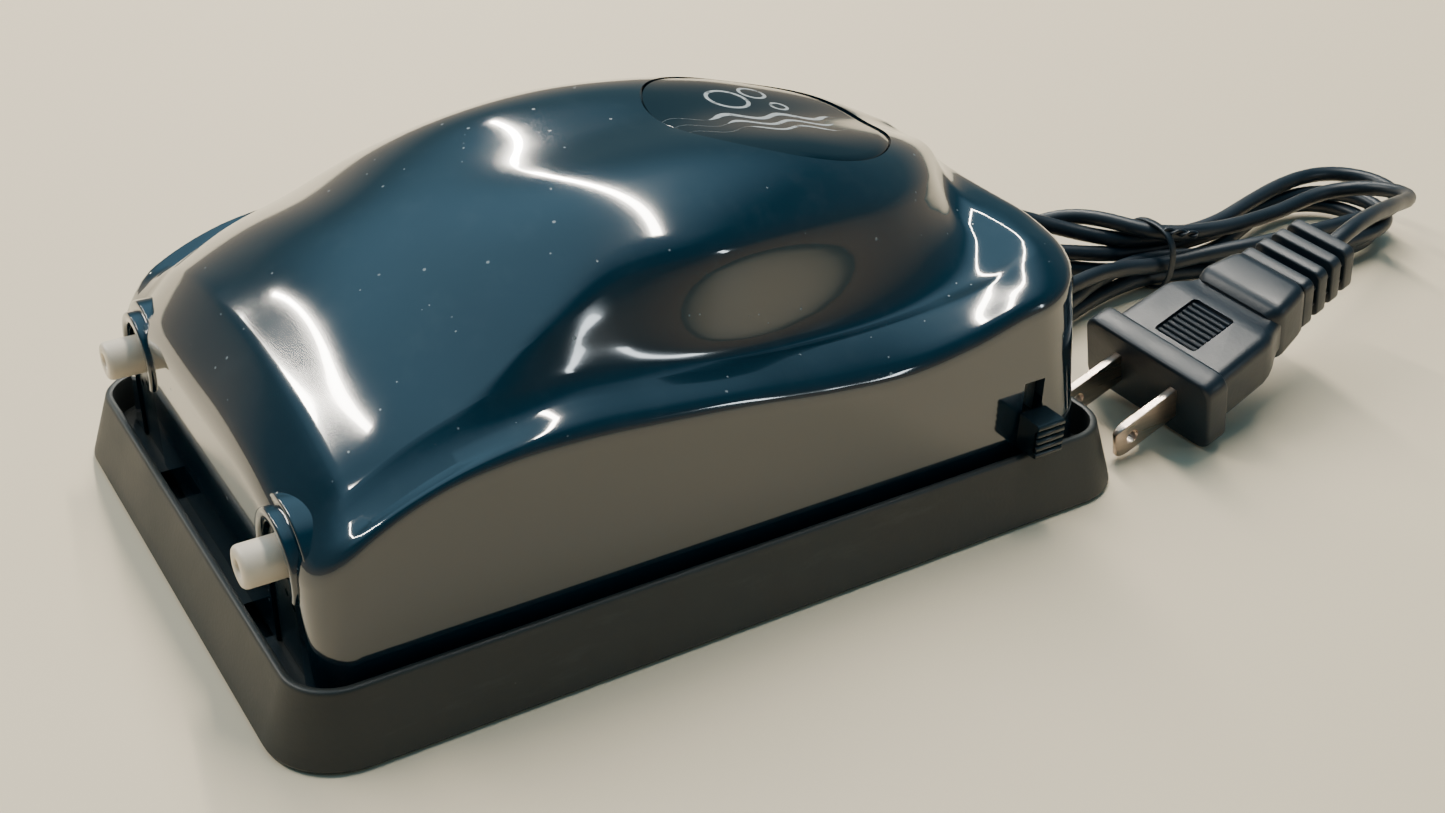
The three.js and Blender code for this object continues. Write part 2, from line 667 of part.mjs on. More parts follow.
function diaphragmScrew() {
  const x = ARM.x + ARM.half + GAP;
  const head = rod("x", SCREW.head, x, x + 1.4, [PUMP.y, PUMP.z], 12);
  return head.add(rod("x", SCREW.shank, ARM.x - 4.6, x + 0.5, [PUMP.y, PUMP.z], 8));
}

function armatureArm() {
  const { x, half, y0, y1, z0, z1 } = ARM;
  const bar = block([x - half, y0, z0], [x + half, y1, z1]);
  return bar.subtract(rod("x", SCREW.shank + GAP, x - 5, x + 5, [PUMP.y, PUMP.z], 10));
}

function armMagnet() {
  const { x0, halfY, z0, z1 } = MAGNET;
  return block([x0, CORE.y - halfY, z0], [ARM.x - ARM.half - GAP, CORE.y + halfY, z1]);
}

// rubber block that holds the arm's end and lets it swing
function armMount() {
  const clear = 0.45;
  const body = block([ARM.x - 3.5, ARM.y1 - 6, 14], [ARM.x + 3.5, ARM.y1 + 4, 30]);
  const slot = block(
    [ARM.x - ARM.half - clear, ARM.y1 - 8, ARM.z0 - clear],
    [ARM.x + ARM.half + clear, ARM.y1 + clear, ARM.z1 + clear],
  );
  return body.subtract(slot);
}

function coreLaminations() {
  const { poleX, poleThick, halfPoleY, halfBarY, y, z0, z1 } = CORE;
  let core = block([-poleX, y - halfBarY, z0], [poleX, y + halfBarY, z1]);
  for (const side of [1, -1]) {
    const xs = [side * poleX, side * (poleX - poleThick)].sort((a, b) => a - b);
    core = core.add(block([xs[0], y - halfPoleY, z0], [xs[1], y + halfPoleY, z1]));
  }
  for (const [x, sy] of CORE_SCREWS)
    core = core.subtract(rod("z", SCREW.shank + GAP, z0 - 1, z1 + 1, [x, sy], 8));
  return core;
}

const COIL = { end: CORE.poleX - CORE.poleThick - GAP, wall: 1, flange: 5, flangeThick: 1.2 };

function coilBobbin() {
  const { end, wall, flange, flangeThick } = COIL;
  const { y, z0, z1, halfBarY } = CORE;
  const inner = { y0: y - halfBarY - GAP, y1: y + halfBarY + GAP, z0: z0 - GAP, z1: z1 + GAP };
  const grown = (x0, x1, by) => block([x0, inner.y0 - by, inner.z0 - by], [x1, inner.y1 + by, inner.z1 + by]);
  const spool = joined(
    grown(-end, end, wall),
    grown(-end, -end + flangeThick, flange),
    grown(end - flangeThick, end, flange),
  );
  return spool.subtract(grown(-end - 1, end + 1, 0));
}

function coilWinding() {
  const { end, wall, flange, flangeThick } = COIL;
  const { y, z0, z1, halfBarY } = CORE;
  const reach = end - flangeThick - GAP;
  const middle = (z0 + z1) / 2;
  const outline = (grow, radius) =>
    rectangleRing(halfBarY + GAP + grow, (z1 - z0) / 2 + GAP + grow, radius, 0, 4);
  const along = (ring, x) => ring.map(([a, b]) => [x, y + a, middle + b]);
  const outer = outline(flange - 0.8, 3);
  const inner = outline(wall + GAP, 0.6);
  const body = skinned([along(outer, -reach), along(outer, reach)]);
  return body.subtract(skinned([along(inner, -reach - 1), along(inner, reach + 1)]));
}

function switchKnob() {
  const { lowZ, highZ, halfY, outerX, ridges } = KNOB;
  const faceX = SHELL.halfX + GAP;
  const root = 0.7; // depth of the finger ridges
  let knob = block([faceX, SWITCH.y - halfY, lowZ], [outerX - root, SWITCH.y + halfY, highZ]);
  const pitch = (highZ - lowZ) / ridges;
  for (let i = 0; i < ridges; i++) {
    const z = lowZ + pitch * (i + 0.5);
    const ridge = rod("y", root, SWITCH.y - halfY, SWITCH.y + halfY, [outerX - root, z], 10);
    knob = knob.add(ridge.intersect(block([faceX, 0, lowZ], [60, 80, highZ])));
  }
  const stemHalf = SWITCH.slotHalfY - 0.45;
  const { y, stemLow, stemHigh } = SWITCH;
  return knob.add(block([37.5, y - stemHalf, stemLow], [faceX + 1, y + stemHalf, stemHigh]));
}

function switchBody() {
  const { y, stemLow } = SWITCH;
  const body = block([33, y - 6, PLATE_TOP + GAP], [41.2, y + 6, 26]);
  return body.subtract(block([36.5, y - 2.4, stemLow - 0.8], [45, y + 2.4, 22]));
}

// moulded strain relief where the cord leaves the rear wall
function cordGland() {
  const { faceY, endY, x, z } = GLAND;
  const wallInside = faceY - SHELL.wall - GAP;
  const profile = [
    [0, wallInside - 2],
    [4.8, wallInside - 2],
    [4.8, wallInside - 0.2],
    [3.05, wallInside - 0.2],
    [3.05, faceY + GAP],
    [4.6, faceY + GAP],
    [4.6, faceY + 1.8],
    [3.4, faceY + 2.4],
    [2.1, endY],
    [0, endY],
  ];
  return turned("y", profile, [x, z], 16);
}

// ---- cord, its bundle, tie and plug ----
const CORD_TAIL = [
  [GLAND.x, GLAND.endY + GAP, GLAND.z],
  [-20.4, 96, 15.9],
  [-20.9, 100, 15.4],
  [-21.2, 103.5, 14.6],
  [-21.2, 106.6, 13.8],
];

function bundle() {
  const { x, waistX, farX, y0, y1, waistY, half, waist, z0, z1 } = BUNDLE;
  const shape = new THREE.Shape();
  const [near, far] = [y0 + half, y1 - half];
  shape.absarc(x, near, half, Math.PI, 2 * Math.PI);
  shape.bezierCurveTo(x + half, near + 18, waistX + waist, waistY - 14, waistX + waist, waistY);
  shape.bezierCurveTo(waistX + waist, waistY + 16, farX + half, far - 26, farX + half, far);
  shape.absarc(farX, far, half, 0, Math.PI);
  shape.bezierCurveTo(farX - half, far - 26, waistX - waist, waistY + 16, waistX - waist, waistY);
  shape.bezierCurveTo(waistX - waist, waistY - 14, x - half, near + 18, x - half, near);
  return prism(shape, z0, z1, 8);
}

function bundleTie() {
  const { waistX, waistY, waist, z0, z1 } = BUNDLE;
  const clear = 0.4;
  const thick = 0.5;
  const [half, y0, y1] = [waist + clear, waistY - TIE_WIDTH / 2, waistY + TIE_WIDTH / 2];
  const band = block([waistX - half - thick, y0, 0], [waistX + half + thick, y1, z1 + clear + thick]);
  return band.subtract(block([waistX - half, y0 - 1, z0 - clear], [waistX + half, y1 + 1, z1 + clear]));
}

// the plug's own frame: x across, y from its face to its cord, z up
function plugFrame() {
  const group = new THREE.Group();
  group.position.set(PLUG.x, PLUG.y, PLUG.z);
  const [tilt, roll, yaw] = [PLUG.tilt, PLUG.roll, PLUG.yaw].map(THREE.MathUtils.degToRad);
  group.rotation.set(tilt, roll, yaw, "ZXY");
  pump.add(group);
  return group;
}

// rings across the plug's length: place, half width, half thickness, corner
const PLUG_RINGS = [
  [0, 13.6, 6.9, 2.5],
  [0.7, 14.2, 7.5, 2.5],
  [4.3, 14.2, 7.5, 2.5],
  [5, 13.6, 6.9, 2.5],
  [5.1, 12.4, 5.6, 2],
  [18, 11.8, 5.6, 2],
  [22, 9.6, 5, 2],
  [24, 8.6, 5.4, 2],
  [26, 8.4, 6.2, 2],
  [31, 7.8, 6, 2],
  [33, 7.5, 5.3, 1.5],
  [PLUG.length - 1, 6.6, 4.8, 1.5],
  [PLUG.length, 6, 4.2, 1.2],
];

function plugBody() {
  const rings = PLUG_RINGS.map(([place, halfX, halfZ, corner]) =>
    rectangleRing(halfX, halfZ, corner, 0, 3).map(([a, b]) => [a, place, -b]),
  );
  let body = skinned(rings);
  for (const side of [1, -1]) {
    const x = (side * BLADE.spacing) / 2;
    const [halfX, halfZ] = [BLADE.thick / 2 + GAP, BLADE.width / 2 + GAP];
    body = body.subtract(block([x - halfX, -1, -halfZ], [x + halfX, BLADE.seat + GAP, halfZ]));
  }
  for (const place of [35, 39, 43])
    for (const up of [1, -1])
      body = body.subtract(
        block([-8, place, Math.min(up * 2.2, up * 8)], [8, place + 1.6, Math.max(up * 2.2, up * 8)]),
      );
  return body;
}

function plugBlade(side) {
  const x = (side * BLADE.spacing) / 2;
  const [halfX, halfZ] = [BLADE.thick / 2, BLADE.width / 2];
  const blade = block([x - halfX, -BLADE.length, -halfZ], [x + halfX, BLADE.seat, halfZ]);
  return blade.subtract(rod("x", 1.4, x - 2, x + 2, [-BLADE.length + 3.6, 0], 10));
}

const PLUG_GROUP = plugFrame();
PLUG_GROUP.updateMatrixWorld(true);
const fromPlug = (x, y, z) => new THREE.Vector3(x, y, z).applyMatrix4(PLUG_GROUP.matrixWorld).toArray();

const CORD_LEAD = [
  fromPlug(0, PLUG.length + GAP, 0),
  fromPlug(0, PLUG.length + 5, 0),
  [30.6, 146, 24],
  [27.2, 154.5, 22.6],
  [23.8, 163, 20.6],
  [19.9, 171.5, 18],
  [16.9, 177.3, 16.2],
  [15.4, 179.6, 15.6],
];

// ---- assembly ----
piece("rubber_base", rubberBoot(), BOOT_RUBBER);
piece("lower_casing", lowerCasing(), BASE_PLASTIC);
piece("upper_casing", upperCasing(), GLOSS_TEAL);
piece(
  "badge_plate",
  hoodDisc(BADGE.radius, GAP - BADGE.depth, GAP - BADGE.depth + BADGE.plate),
  SILVER_PRINT,
);
piece("switch_knob", switchKnob(), BASE_PLASTIC);
piece("switch_body", switchBody(), WHITE_NYLON);
piece("air_filter", rod("z", FILTER.radius, PLATE_TOP - 0.2, PLATE_TOP + 2.6, FILTER.at, 24), FELT);
piece("core_laminations", coreLaminations(), STEEL);
piece("coil_bobbin", coilBobbin(), WHITE_NYLON);
piece("coil_winding", coilWinding(), COPPER);
CORE_SCREWS.forEach(([x, y], i) =>
  piece(`core_screw_${i + 1}`, screw(x, y, CORE.z1 + GAP + 1.4, PLATE_TOP + 1), STEEL),
);
POSTS.forEach(([x, y], i) =>
  piece(`casing_screw_${i + 1}`, screw(x, y, SHELL.bottom, PLATE_TOP + 9, SCREW.head), STEEL),
);
for (const [name, side] of SIDES) {
  piece(`outlet_nozzle_${name}`, outletNozzle(side), CREAM);
  piece(`air_tube_${name}`, mirrored(airTube(), side), SILICONE);
  piece(`valve_box_${name}`, mirrored(valveBox(), side), WHITE_NYLON);
  piece(`valve_plate_${name}`, mirrored(valvePlate(), side), WHITE_NYLON);
  const inner = PUMP.plateX - GAP - 0.7;
  const outer = PUMP.plateX + PUMP.plateThick + GAP;
  piece(`outlet_flap_${name}`, mirrored(flap(inner, VALVE_Y.outlet), side), SOFT_RUBBER);
  piece(`intake_flap_${name}`, mirrored(flap(outer, VALVE_Y.intake), side), SOFT_RUBBER);
  piece(`diaphragm_${name}`, mirrored(diaphragm(), side), SOFT_RUBBER);
  piece(`diaphragm_screw_${name}`, mirrored(diaphragmScrew(), side), STEEL);
  piece(`armature_arm_${name}`, mirrored(armatureArm(), side), WHITE_NYLON);
  piece(`arm_magnet_${name}`, mirrored(armMagnet(), side), FERRITE);
  piece(`arm_mount_${name}`, mirrored(armMount(), side), SOFT_RUBBER);
}
piece(
  "coil_lead_switch",
  cable(
    [
      [12, CORE.y + 13, 20],
      [14, 24, 18],
      [18, 34, 13],
      [24, 46, 12],
      [32.4, 52, 14],
    ],
    0.7,
    12,
    6,
  ),
  BLACK_PVC,
);
piece(
  "coil_lead_mains",
  cable(
    [
      [-12, CORE.y + 13, 20],
      [-13, 26, 18],
      [-16, 40, 16],
      [-18, 52, 15.5],
      [GLAND.x, SHELL.rear - SHELL.wall - 3.2, GLAND.z],
    ],
    0.7,
    12,
    6,
  ),
  BLACK_PVC,
);
piece("cord_gland", cordGland(), BLACK_PVC);
piece("mains_cord_tail", cable(CORD_TAIL, CORD_RADIUS, 10), BLACK_PVC);
piece("mains_cord_hank", bundle(), BLACK_PVC);
piece("hank_tie", bundleTie(), BLACK_PVC);
piece("mains_cord_lead", cable(CORD_LEAD, CORD_RADIUS, 14), BLACK_PVC);
piece("plug_body", plugBody(), BLACK_PVC, PLUG_GROUP);
for (const [name, side] of SIDES) piece(`plug_blade_${name}`, plugBlade(side), PLATED_BRASS, PLUG_GROUP);

export default pump;
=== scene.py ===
# Looks of the two-outlet aquarium air pump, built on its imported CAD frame.
# Shapes are worked out in millimetres in the CAD's own axes and stored in metres.
import json
import math

import bmesh
import bpy
import numpy as np
from mathutils import Matrix, Vector


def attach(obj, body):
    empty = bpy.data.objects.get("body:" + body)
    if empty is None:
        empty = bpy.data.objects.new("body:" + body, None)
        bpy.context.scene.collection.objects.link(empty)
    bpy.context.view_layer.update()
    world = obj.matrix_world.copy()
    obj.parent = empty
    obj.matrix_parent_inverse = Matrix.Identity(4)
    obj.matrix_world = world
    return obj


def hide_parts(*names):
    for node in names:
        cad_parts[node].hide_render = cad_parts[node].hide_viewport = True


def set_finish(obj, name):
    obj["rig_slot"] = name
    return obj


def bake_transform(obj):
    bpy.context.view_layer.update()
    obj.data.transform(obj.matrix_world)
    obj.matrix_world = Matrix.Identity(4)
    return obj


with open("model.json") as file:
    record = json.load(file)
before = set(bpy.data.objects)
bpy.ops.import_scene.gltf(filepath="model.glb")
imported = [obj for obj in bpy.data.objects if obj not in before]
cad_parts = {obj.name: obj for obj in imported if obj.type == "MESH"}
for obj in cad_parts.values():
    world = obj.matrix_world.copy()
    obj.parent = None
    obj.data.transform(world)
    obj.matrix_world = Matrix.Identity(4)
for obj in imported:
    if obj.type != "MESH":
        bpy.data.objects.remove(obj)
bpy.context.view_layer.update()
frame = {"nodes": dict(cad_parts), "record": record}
MM = 0.001

# ---- driving sizes, in millimetres and degrees ----
CAMERA = {"azimuth": 57.148, "elevation": 30.784, "roll": 1.7, "far": 312.672, "lens": 43.676}
CAMERA_AIM = (-4.935, 27.011, 0)

SIDES = (("right", 1), ("left", -1))
SHELL = {"half_x": 45.2, "front": -65.7, "rear": 66.9, "wall": 2.0, "bottom": 5.5}
# corner radii of the casing's outline, at the top of its wall and at its foot
CORNER = {"front_top": 7.0, "rear_top": 14.0, "front_foot": 4.0, "rear_foot": 6.0}
FILLET = {"width": 8.0, "slope_fall": 4.0, "slope_power": 1.25, "edge_fall": 2.5, "edge_power": 14}
BADGE_AT, BADGE_RADIUS = (0.0, 30.5), 20.0
OUTLET = (31.5, 23.2)
ARCH = {"radius": 5.6, "z": 22.4, "y0": -70.0, "y1": -60.5}
LIP = {"drop": 0.6, "round": 0.45, "turn": (-24, 204)}
SWITCH_SLOT = ((40, 51.25, 12.6), (50, 55.35, 23))
GLAND_AT, GLAND_HOLE = (-20.0, 16.0), 3.4
CORD_RADIUS = 1.6
TIE = {"middle": (-4.0, 7.05), "y": 128.0, "reach": 6.35, "power": 2.6, "gap": 0.35}
PLUG = {"at": (36.5, 88.2, 8.2), "yaw": 4, "tilt": 17, "roll": 5}
BLADE = {"x": 6.35, "length": 14.4, "half_width": 3.175, "half_thick": 0.75, "hole_y": -10.8, "hole": 1.4}
ARM_Y, ARM_Z = -34, 22


# ---- camera ----
def look_through():
    azimuth, elevation, roll = (math.radians(CAMERA[key]) for key in ("azimuth", "elevation", "roll"))
    flat = math.cos(elevation)
    back = Vector((math.sin(azimuth) * flat, -math.cos(azimuth) * flat, math.sin(elevation)))
    right = Vector((math.cos(azimuth), math.sin(azimuth), 0))
    up = back.cross(right)
    across = right * math.cos(roll) + up * math.sin(roll)
    upwards = up * math.cos(roll) - right * math.sin(roll)
    place = (Vector(CAMERA_AIM) + back * CAMERA["far"]) * MM
    camera = bpy.data.objects.new("camera", bpy.data.cameras.new("camera"))
    bpy.context.collection.objects.link(camera)
    turned = Matrix((across, upwards, back)).transposed().to_4x4()
    camera.matrix_world = Matrix.Translation(place) @ turned
    camera.data.sensor_width = 36
    camera.data.lens = CAMERA["lens"]
    camera.data.clip_start, camera.data.clip_end = 0.01, 20
    bpy.context.scene.camera = camera


look_through()


# ---- materials ----
class Look:
    """One material: a principled shader with helpers for its procedural nodes."""

    def __init__(self, name, color, rough, metal=0.0, coat=0.0, coat_rough=0.1, ior=1.5):
        self.material = bpy.data.materials.new(name)
        self.material.use_nodes = True
        self.nodes, self.links = self.material.node_tree.nodes, self.material.node_tree.links
        self.shader = self.nodes["Principled BSDF"]
        for key, value in {
            "Base Color": (*color, 1),
            "Roughness": rough,
            "Metallic": metal,
            "IOR": ior,
            "Coat Weight": coat,
            "Coat Roughness": coat_rough,
        }.items():
            self.shader.inputs[key].default_value = value
        self.color, self.rough = color, rough
        self.place = self.nodes.new("ShaderNodeTexCoord").outputs["Object"]

    def node(self, kind, values=None, **settings):
        made = self.nodes.new(kind)
        for key, value in settings.items():
            setattr(made, key, value)
        for key, value in (values or {}).items():
            if isinstance(value, bpy.types.NodeSocket):
                self.links.new(value, made.inputs[key])
            else:
                made.inputs[key].default_value = value
        return made

    def math(self, operation, *values, clamp=False):
        made = self.node("ShaderNodeMath", dict(enumerate(values)), operation=operation)
        made.use_clamp = clamp
        return made.outputs[0]

    def noise(self, scale, detail=4.0, stretch=(1, 1, 1), roughness=0.55):
        place = self.node("ShaderNodeVectorMath", {0: self.place, 1: stretch}, operation="MULTIPLY")
        values = {"Vector": place.outputs[0], "Scale": scale, "Detail": detail, "Roughness": roughness}
        return self.node("ShaderNodeTexNoise", values).outputs["Fac"]

    def ramp(self, value, low, high, out_low=0.0, out_high=1.0):
        """A value between low and high, as a share from out_low to out_high."""
        values = {"Value": value, "From Min": low, "From Max": high, "To Min": out_low, "To Max": out_high}
        return self.node("ShaderNodeMapRange", values).outputs["Result"]

    def mix(self, share, a, b):
        """The colour a turned into b by a share."""
        made = self.node("ShaderNodeMix", data_type="RGBA")
        for index, value in ((0, share), (6, a), (7, b)):
            if isinstance(value, bpy.types.NodeSocket):
                self.links.new(value, made.inputs[index])
            else:
                made.inputs[index].default_value = value if index == 0 else (*value, 1)
        return made.outputs[2]

    def set(self, key, socket):
        self.links.new(socket, self.shader.inputs[key])
        return self

    def over(self, share, tint):
        """Lays a tint over the colour that the shader has by now."""
        base = self.shader.inputs["Base Color"].links[0].from_socket
        return self.set("Base Color", self.mix(share, base, tint))

    def specks(self, scale, size, share):
        """Small scattered grains: 1 on a grain, 0 between them."""
        cells = self.node("ShaderNodeTexVoronoi", {"Vector": self.place, "Scale": scale})
        red = self.node("ShaderNodeSeparateColor", {"Color": cells.outputs["Color"]}).outputs[0]
        chosen = self.math("LESS_THAN", red, share)
        near = self.ramp(cells.outputs["Distance"], size, size * 0.5)
        return self.math("MULTIPLY", near, chosen)

    def bump(self, height, distance, strength=1.0):
        values = {"Height": height, "Distance": distance, "Strength": strength}
        return self.set("Normal", self.node("ShaderNodeBump", values).outputs["Normal"])

    def moulded(self, tint, grain=900.0, depth=0.00002, vary=0.12, cloud=45.0):
        """Slight clouding of colour and gloss, and a fine grain."""
        clouds = self.noise(cloud, 3.0)
        smooth, dull = self.rough * (1 - vary), self.rough * (1 + vary)
        self.set("Base Color", self.mix(self.ramp(clouds, 0.35, 0.7), self.color, tint))
        self.set("Roughness", self.ramp(clouds, 0.3, 0.75, smooth, dull))
        return self.bump(self.noise(grain, 3.0), depth)


def gloss_shell():
    """Glossy moulded plastic with dust, a thin film and faint smears."""
    look = Look("gloss_shell", (0.0008, 0.009, 0.017), 0.085, coat=1.0, coat_rough=0.03, ior=1.6)
    clouds = look.noise(28.0, 4.0)
    body = look.mix(look.ramp(clouds, 0.3, 0.75), look.color, (0.0014, 0.014, 0.025))
    dust = look.math("MAXIMUM", look.specks(210.0, 0.07, 0.4), look.specks(520.0, 0.1, 0.14))
    film = look.ramp(look.noise(160.0, 6.0, (1, 1, 1), 0.7), 0.52, 0.9, 0.0, 0.06)
    veil = look.math("MAXIMUM", look.math("MULTIPLY", dust, 0.9), film, clamp=True)
    look.set("Base Color", look.mix(veil, body, (0.16, 0.2, 0.22)))
    smears = look.ramp(look.noise(60.0, 5.0, (1, 0.3, 1)), 0.35, 0.8, 0.07, 0.14)
    look.set("Roughness", look.math("ADD", smears, look.math("MULTIPLY", dust, 0.4)))
    return look.bump(look.noise(70.0, 2.0), 0.00004, 0.25)


def boot_rubber():
    """Matt rubber with lint and pale scuffs."""
    look = Look("boot_rubber", (0.019, 0.021, 0.019), 0.5)
    look.moulded((0.026, 0.03, 0.027), 1500.0, 0.00003, 0.15, 60.0)
    lint = look.specks(420.0, 0.07, 0.12)
    scuffs = look.ramp(look.noise(90.0, 6.0, (1, 0.4, 2.2), 0.7), 0.56, 0.8, 0.0, 0.35)
    veil = look.math("MAXIMUM", look.math("MULTIPLY", lint, 0.6), scuffs, clamp=True)
    return look.over(veil, (0.07, 0.075, 0.07))


def ring_mark(look, u, v, centre, radius, half):
    """1 inside a thin ring about a centre, in millimetres."""
    du, dv = look.math("SUBTRACT", u, centre[0]), look.math("SUBTRACT", v, centre[1])
    squares = look.math("MULTIPLY", du, du), look.math("MULTIPLY", dv, dv)
    far = look.math("SQRT", look.math("ADD", *squares))
    return look.ramp(look.math("ABSOLUTE", look.math("SUBTRACT", far, radius)), half + 0.08, half)


def wave_mark(look, u, v, middle, reach, swing, half):
    """1 inside a wavy stroke that lies along u."""
    wave = look.math("MULTIPLY", look.math("SINE", look.math("MULTIPLY", u, 0.62)), swing)
    off = look.math("ABSOLUTE", look.math("SUBTRACT", look.math("SUBTRACT", v, middle), wave))
    ends = look.ramp(look.math("ABSOLUTE", u), reach, reach - 2.5)
    thin = look.math("MULTIPLY", ends, half)
    return look.ramp(look.math("SUBTRACT", off, thin), 0.06, -0.04)


def badge():
    """Dark glossy inlay with a worn print of three bubbles over three waves."""
    look = Look("badge", (0.002, 0.01, 0.016), 0.1, coat=0.3, coat_rough=0.04)
    parts = look.node("ShaderNodeSeparateXYZ", {"Vector": look.place})
    u = look.math("MULTIPLY", look.math("SUBTRACT", parts.outputs["Y"], BADGE_AT[1] * MM), 1 / MM)
    v = look.math("MULTIPLY", parts.outputs["X"], -1 / MM)
    marks = [
        ring_mark(look, u, v, (-3.4, 6.4), 3.5, 0.3),
        ring_mark(look, u, v, (3.1, 9.2), 2.2, 0.26),
        ring_mark(look, u, v, (4.9, 3.6), 1.4, 0.22),
        wave_mark(look, u, v, -1.2, 12.5, 1.1, 0.62),
        wave_mark(look, u, v, -4.6, 10.5, 1.1, 0.5),
        wave_mark(look, u, v, -7.8, 8.0, 1.0, 0.38),
    ]
    print_here = marks[0]
    for mark in marks[1:]:
        print_here = look.math("MAXIMUM", print_here, mark, clamp=True)
    worn = look.ramp(look.noise(420.0, 5.0), 0.34, 0.46, 0.35, 1.0)
    print_here = look.math("MULTIPLY", print_here, worn)
    dust = look.specks(330.0, 0.05, 0.3)
    ground = look.mix(look.math("MULTIPLY", dust, 0.4), look.color, (0.2, 0.23, 0.25))
    look.set("Base Color", look.mix(print_here, ground, (0.42, 0.46, 0.48)))
    look.set("Roughness", look.ramp(print_here, 0, 1, 0.09, 0.34))
    return look.bump(print_here, 0.00003)


def black_pvc():
    """Soft dull plastic of the cord and plug, with lint."""
    look = Look("black_pvc", (0.004, 0.010, 0.017), 0.42)
    look.moulded((0.007, 0.016, 0.026), 1300.0, 0.000025, 0.2, 80.0)
    lint = look.math("MULTIPLY", look.specks(520.0, 0.07, 0.16), 0.45)
    return look.over(lint, (0.12, 0.14, 0.15))


def blade_metal():
    """Nickel-tinted blades, brushed along their length."""
    look = Look("blade_metal", (0.62, 0.5, 0.41), 0.26, metal=1.0)
    brushed = look.noise(260.0, 5.0, (1, 0.12, 3))
    look.set("Base Color", look.mix(look.ramp(brushed, 0.35, 0.7), look.color, (0.46, 0.38, 0.32)))
    look.set("Roughness", look.ramp(brushed, 0.3, 0.75, 0.22, 0.4))
    return look.bump(brushed, 0.000004)


def copper():
    """Enamelled wire laid in fine turns."""
    look = Look("copper", (0.58, 0.22, 0.09), 0.28, metal=1.0)
    values = {"Vector": look.place, "Scale": 480.0, "Distortion": 0.4, "Detail": 1.0}
    turns = look.node("ShaderNodeTexWave", values, bands_direction="X").outputs["Fac"]
    look.set("Base Color", look.mix(turns, (0.2, 0.07, 0.03), look.color))
    return look.bump(turns, 0.0002)


def steel():
    """Plain steel; the core's sheets show as fine bands."""
    look = Look("steel", (0.42, 0.43, 0.45), 0.32, metal=1.0)
    sheets = look.noise(420.0, 3.0, (0.1, 0.1, 4))
    look.set("Base Color", look.mix(look.ramp(sheets, 0.35, 0.7), look.color, (0.26, 0.27, 0.28)))
    look.set("Roughness", look.ramp(sheets, 0.3, 0.7, 0.24, 0.45))
    return look.bump(sheets, 0.00005)


def plain(name, color, rough, tint, *grain):
    return Look(name, color, rough).moulded(tint, *grain)


LOOKS = {
    "gloss_shell": gloss_shell(),
    "boot_rubber": boot_rubber(),
    "badge": badge(),
    "black_pvc": black_pvc(),
    "blade_metal": blade_metal(),
    "copper": copper(),
    "steel": steel(),
    "base_plastic": plain("base_plastic", (0.006, 0.014, 0.019), 0.22, (0.01, 0.02, 0.026), 1200.0),
    "cream_plastic": plain("cream_plastic", (0.76, 0.66, 0.53), 0.38, (0.7, 0.58, 0.45), 900.0),
    "soft_rubber": plain("soft_rubber", (0.02, 0.02, 0.021), 0.7, (0.03, 0.03, 0.03), 1400.0),
    "silicone": plain("silicone", (0.5, 0.53, 0.51), 0.45, (0.58, 0.6, 0.57), 700.0),
    "white_nylon": plain("white_nylon", (0.68, 0.68, 0.62), 0.42, (0.6, 0.59, 0.54), 900.0),
    "ferrite": plain("ferrite", (0.05, 0.05, 0.055), 0.6, (0.08, 0.08, 0.085), 1600.0, 0.00006),
    "felt": plain("felt", (0.6, 0.58, 0.5), 0.95, (0.48, 0.46, 0.4), 1800.0, 0.0003, 0.05, 300.0),
}

for row in frame["record"]["subparts"]:
    node = frame["nodes"][row["node"]]
    node.data.materials.clear()
    node.data.materials.append(LOOKS[row["material_slot"]].material)


# ---- meshes ----
def mesh_object(name, points, faces, slot, crease=32.0):
    mesh = bpy.data.meshes.new(name)
    mesh.from_pydata((np.asarray(points, float) * MM).tolist(), [], [tuple(map(int, f)) for f in faces])
    mesh.validate()
    work = bmesh.new()
    work.from_mesh(mesh)
    bmesh.ops.recalc_face_normals(work, faces=work.faces)
    work.to_mesh(mesh)
    work.free()
    obj = bpy.data.objects.new(name, mesh)
    bpy.context.collection.objects.link(obj)
    mesh.materials.append(LOOKS[slot].material)
    finish_edges(obj, crease)
    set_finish(obj, slot)
    return obj


def finish_edges(obj, crease):
    obj.data.shade_smooth()
    obj.data.set_sharp_from_angle(angle=math.radians(crease))


def skinned(rings, caps=True):
    """Points and faces of equal closed rings joined in order, with flat fans over both ends."""
    rings = np.asarray(rings, float)
    count, size = rings.shape[:2]
    points = rings.reshape(-1, 3)
    r, i = np.meshgrid(np.arange(count - 1), np.arange(size), indexing="ij")
    j = (i + 1) % size
    faces = np.stack([r * size + i, r * size + j, (r + 1) * size + j, (r + 1) * size + i], -1)
    faces = faces.reshape(-1, 4).tolist()
    if caps:
        points = np.vstack([points, rings[0].mean(0), rings[-1].mean(0)])
        last = (count - 1) * size
        for i in range(size):
            j = (i + 1) % size
            faces += [(len(points) - 2, j, i), (len(points) - 1, last + i, last + j)]
    return points, faces


def merged(parts):
    points, faces, base = [], [], 0
    for p, f in parts:
        points.append(np.asarray(p, float))
        faces += [[v + base for v in face] for face in f]
        base += len(p)
    return np.vstack(points), faces


def rounded_ring(half_a, half_b, radius, per_corner=8):
    """Points of a rounded rectangle in a plane, counter-clockwise."""
    made = []
    for sa, sb, start in ((1, -1, -90), (1, 1, 0), (-1, 1, 90), (-1, -1, 180)):
        middle_a, middle_b = sa * (half_a - radius), sb * (half_b - radius)
        for angle in np.radians(start + np.linspace(0, 90, per_corner + 1)):
            made.append((middle_a + radius * math.cos(angle), middle_b + radius * math.sin(angle)))
    return np.array(made)


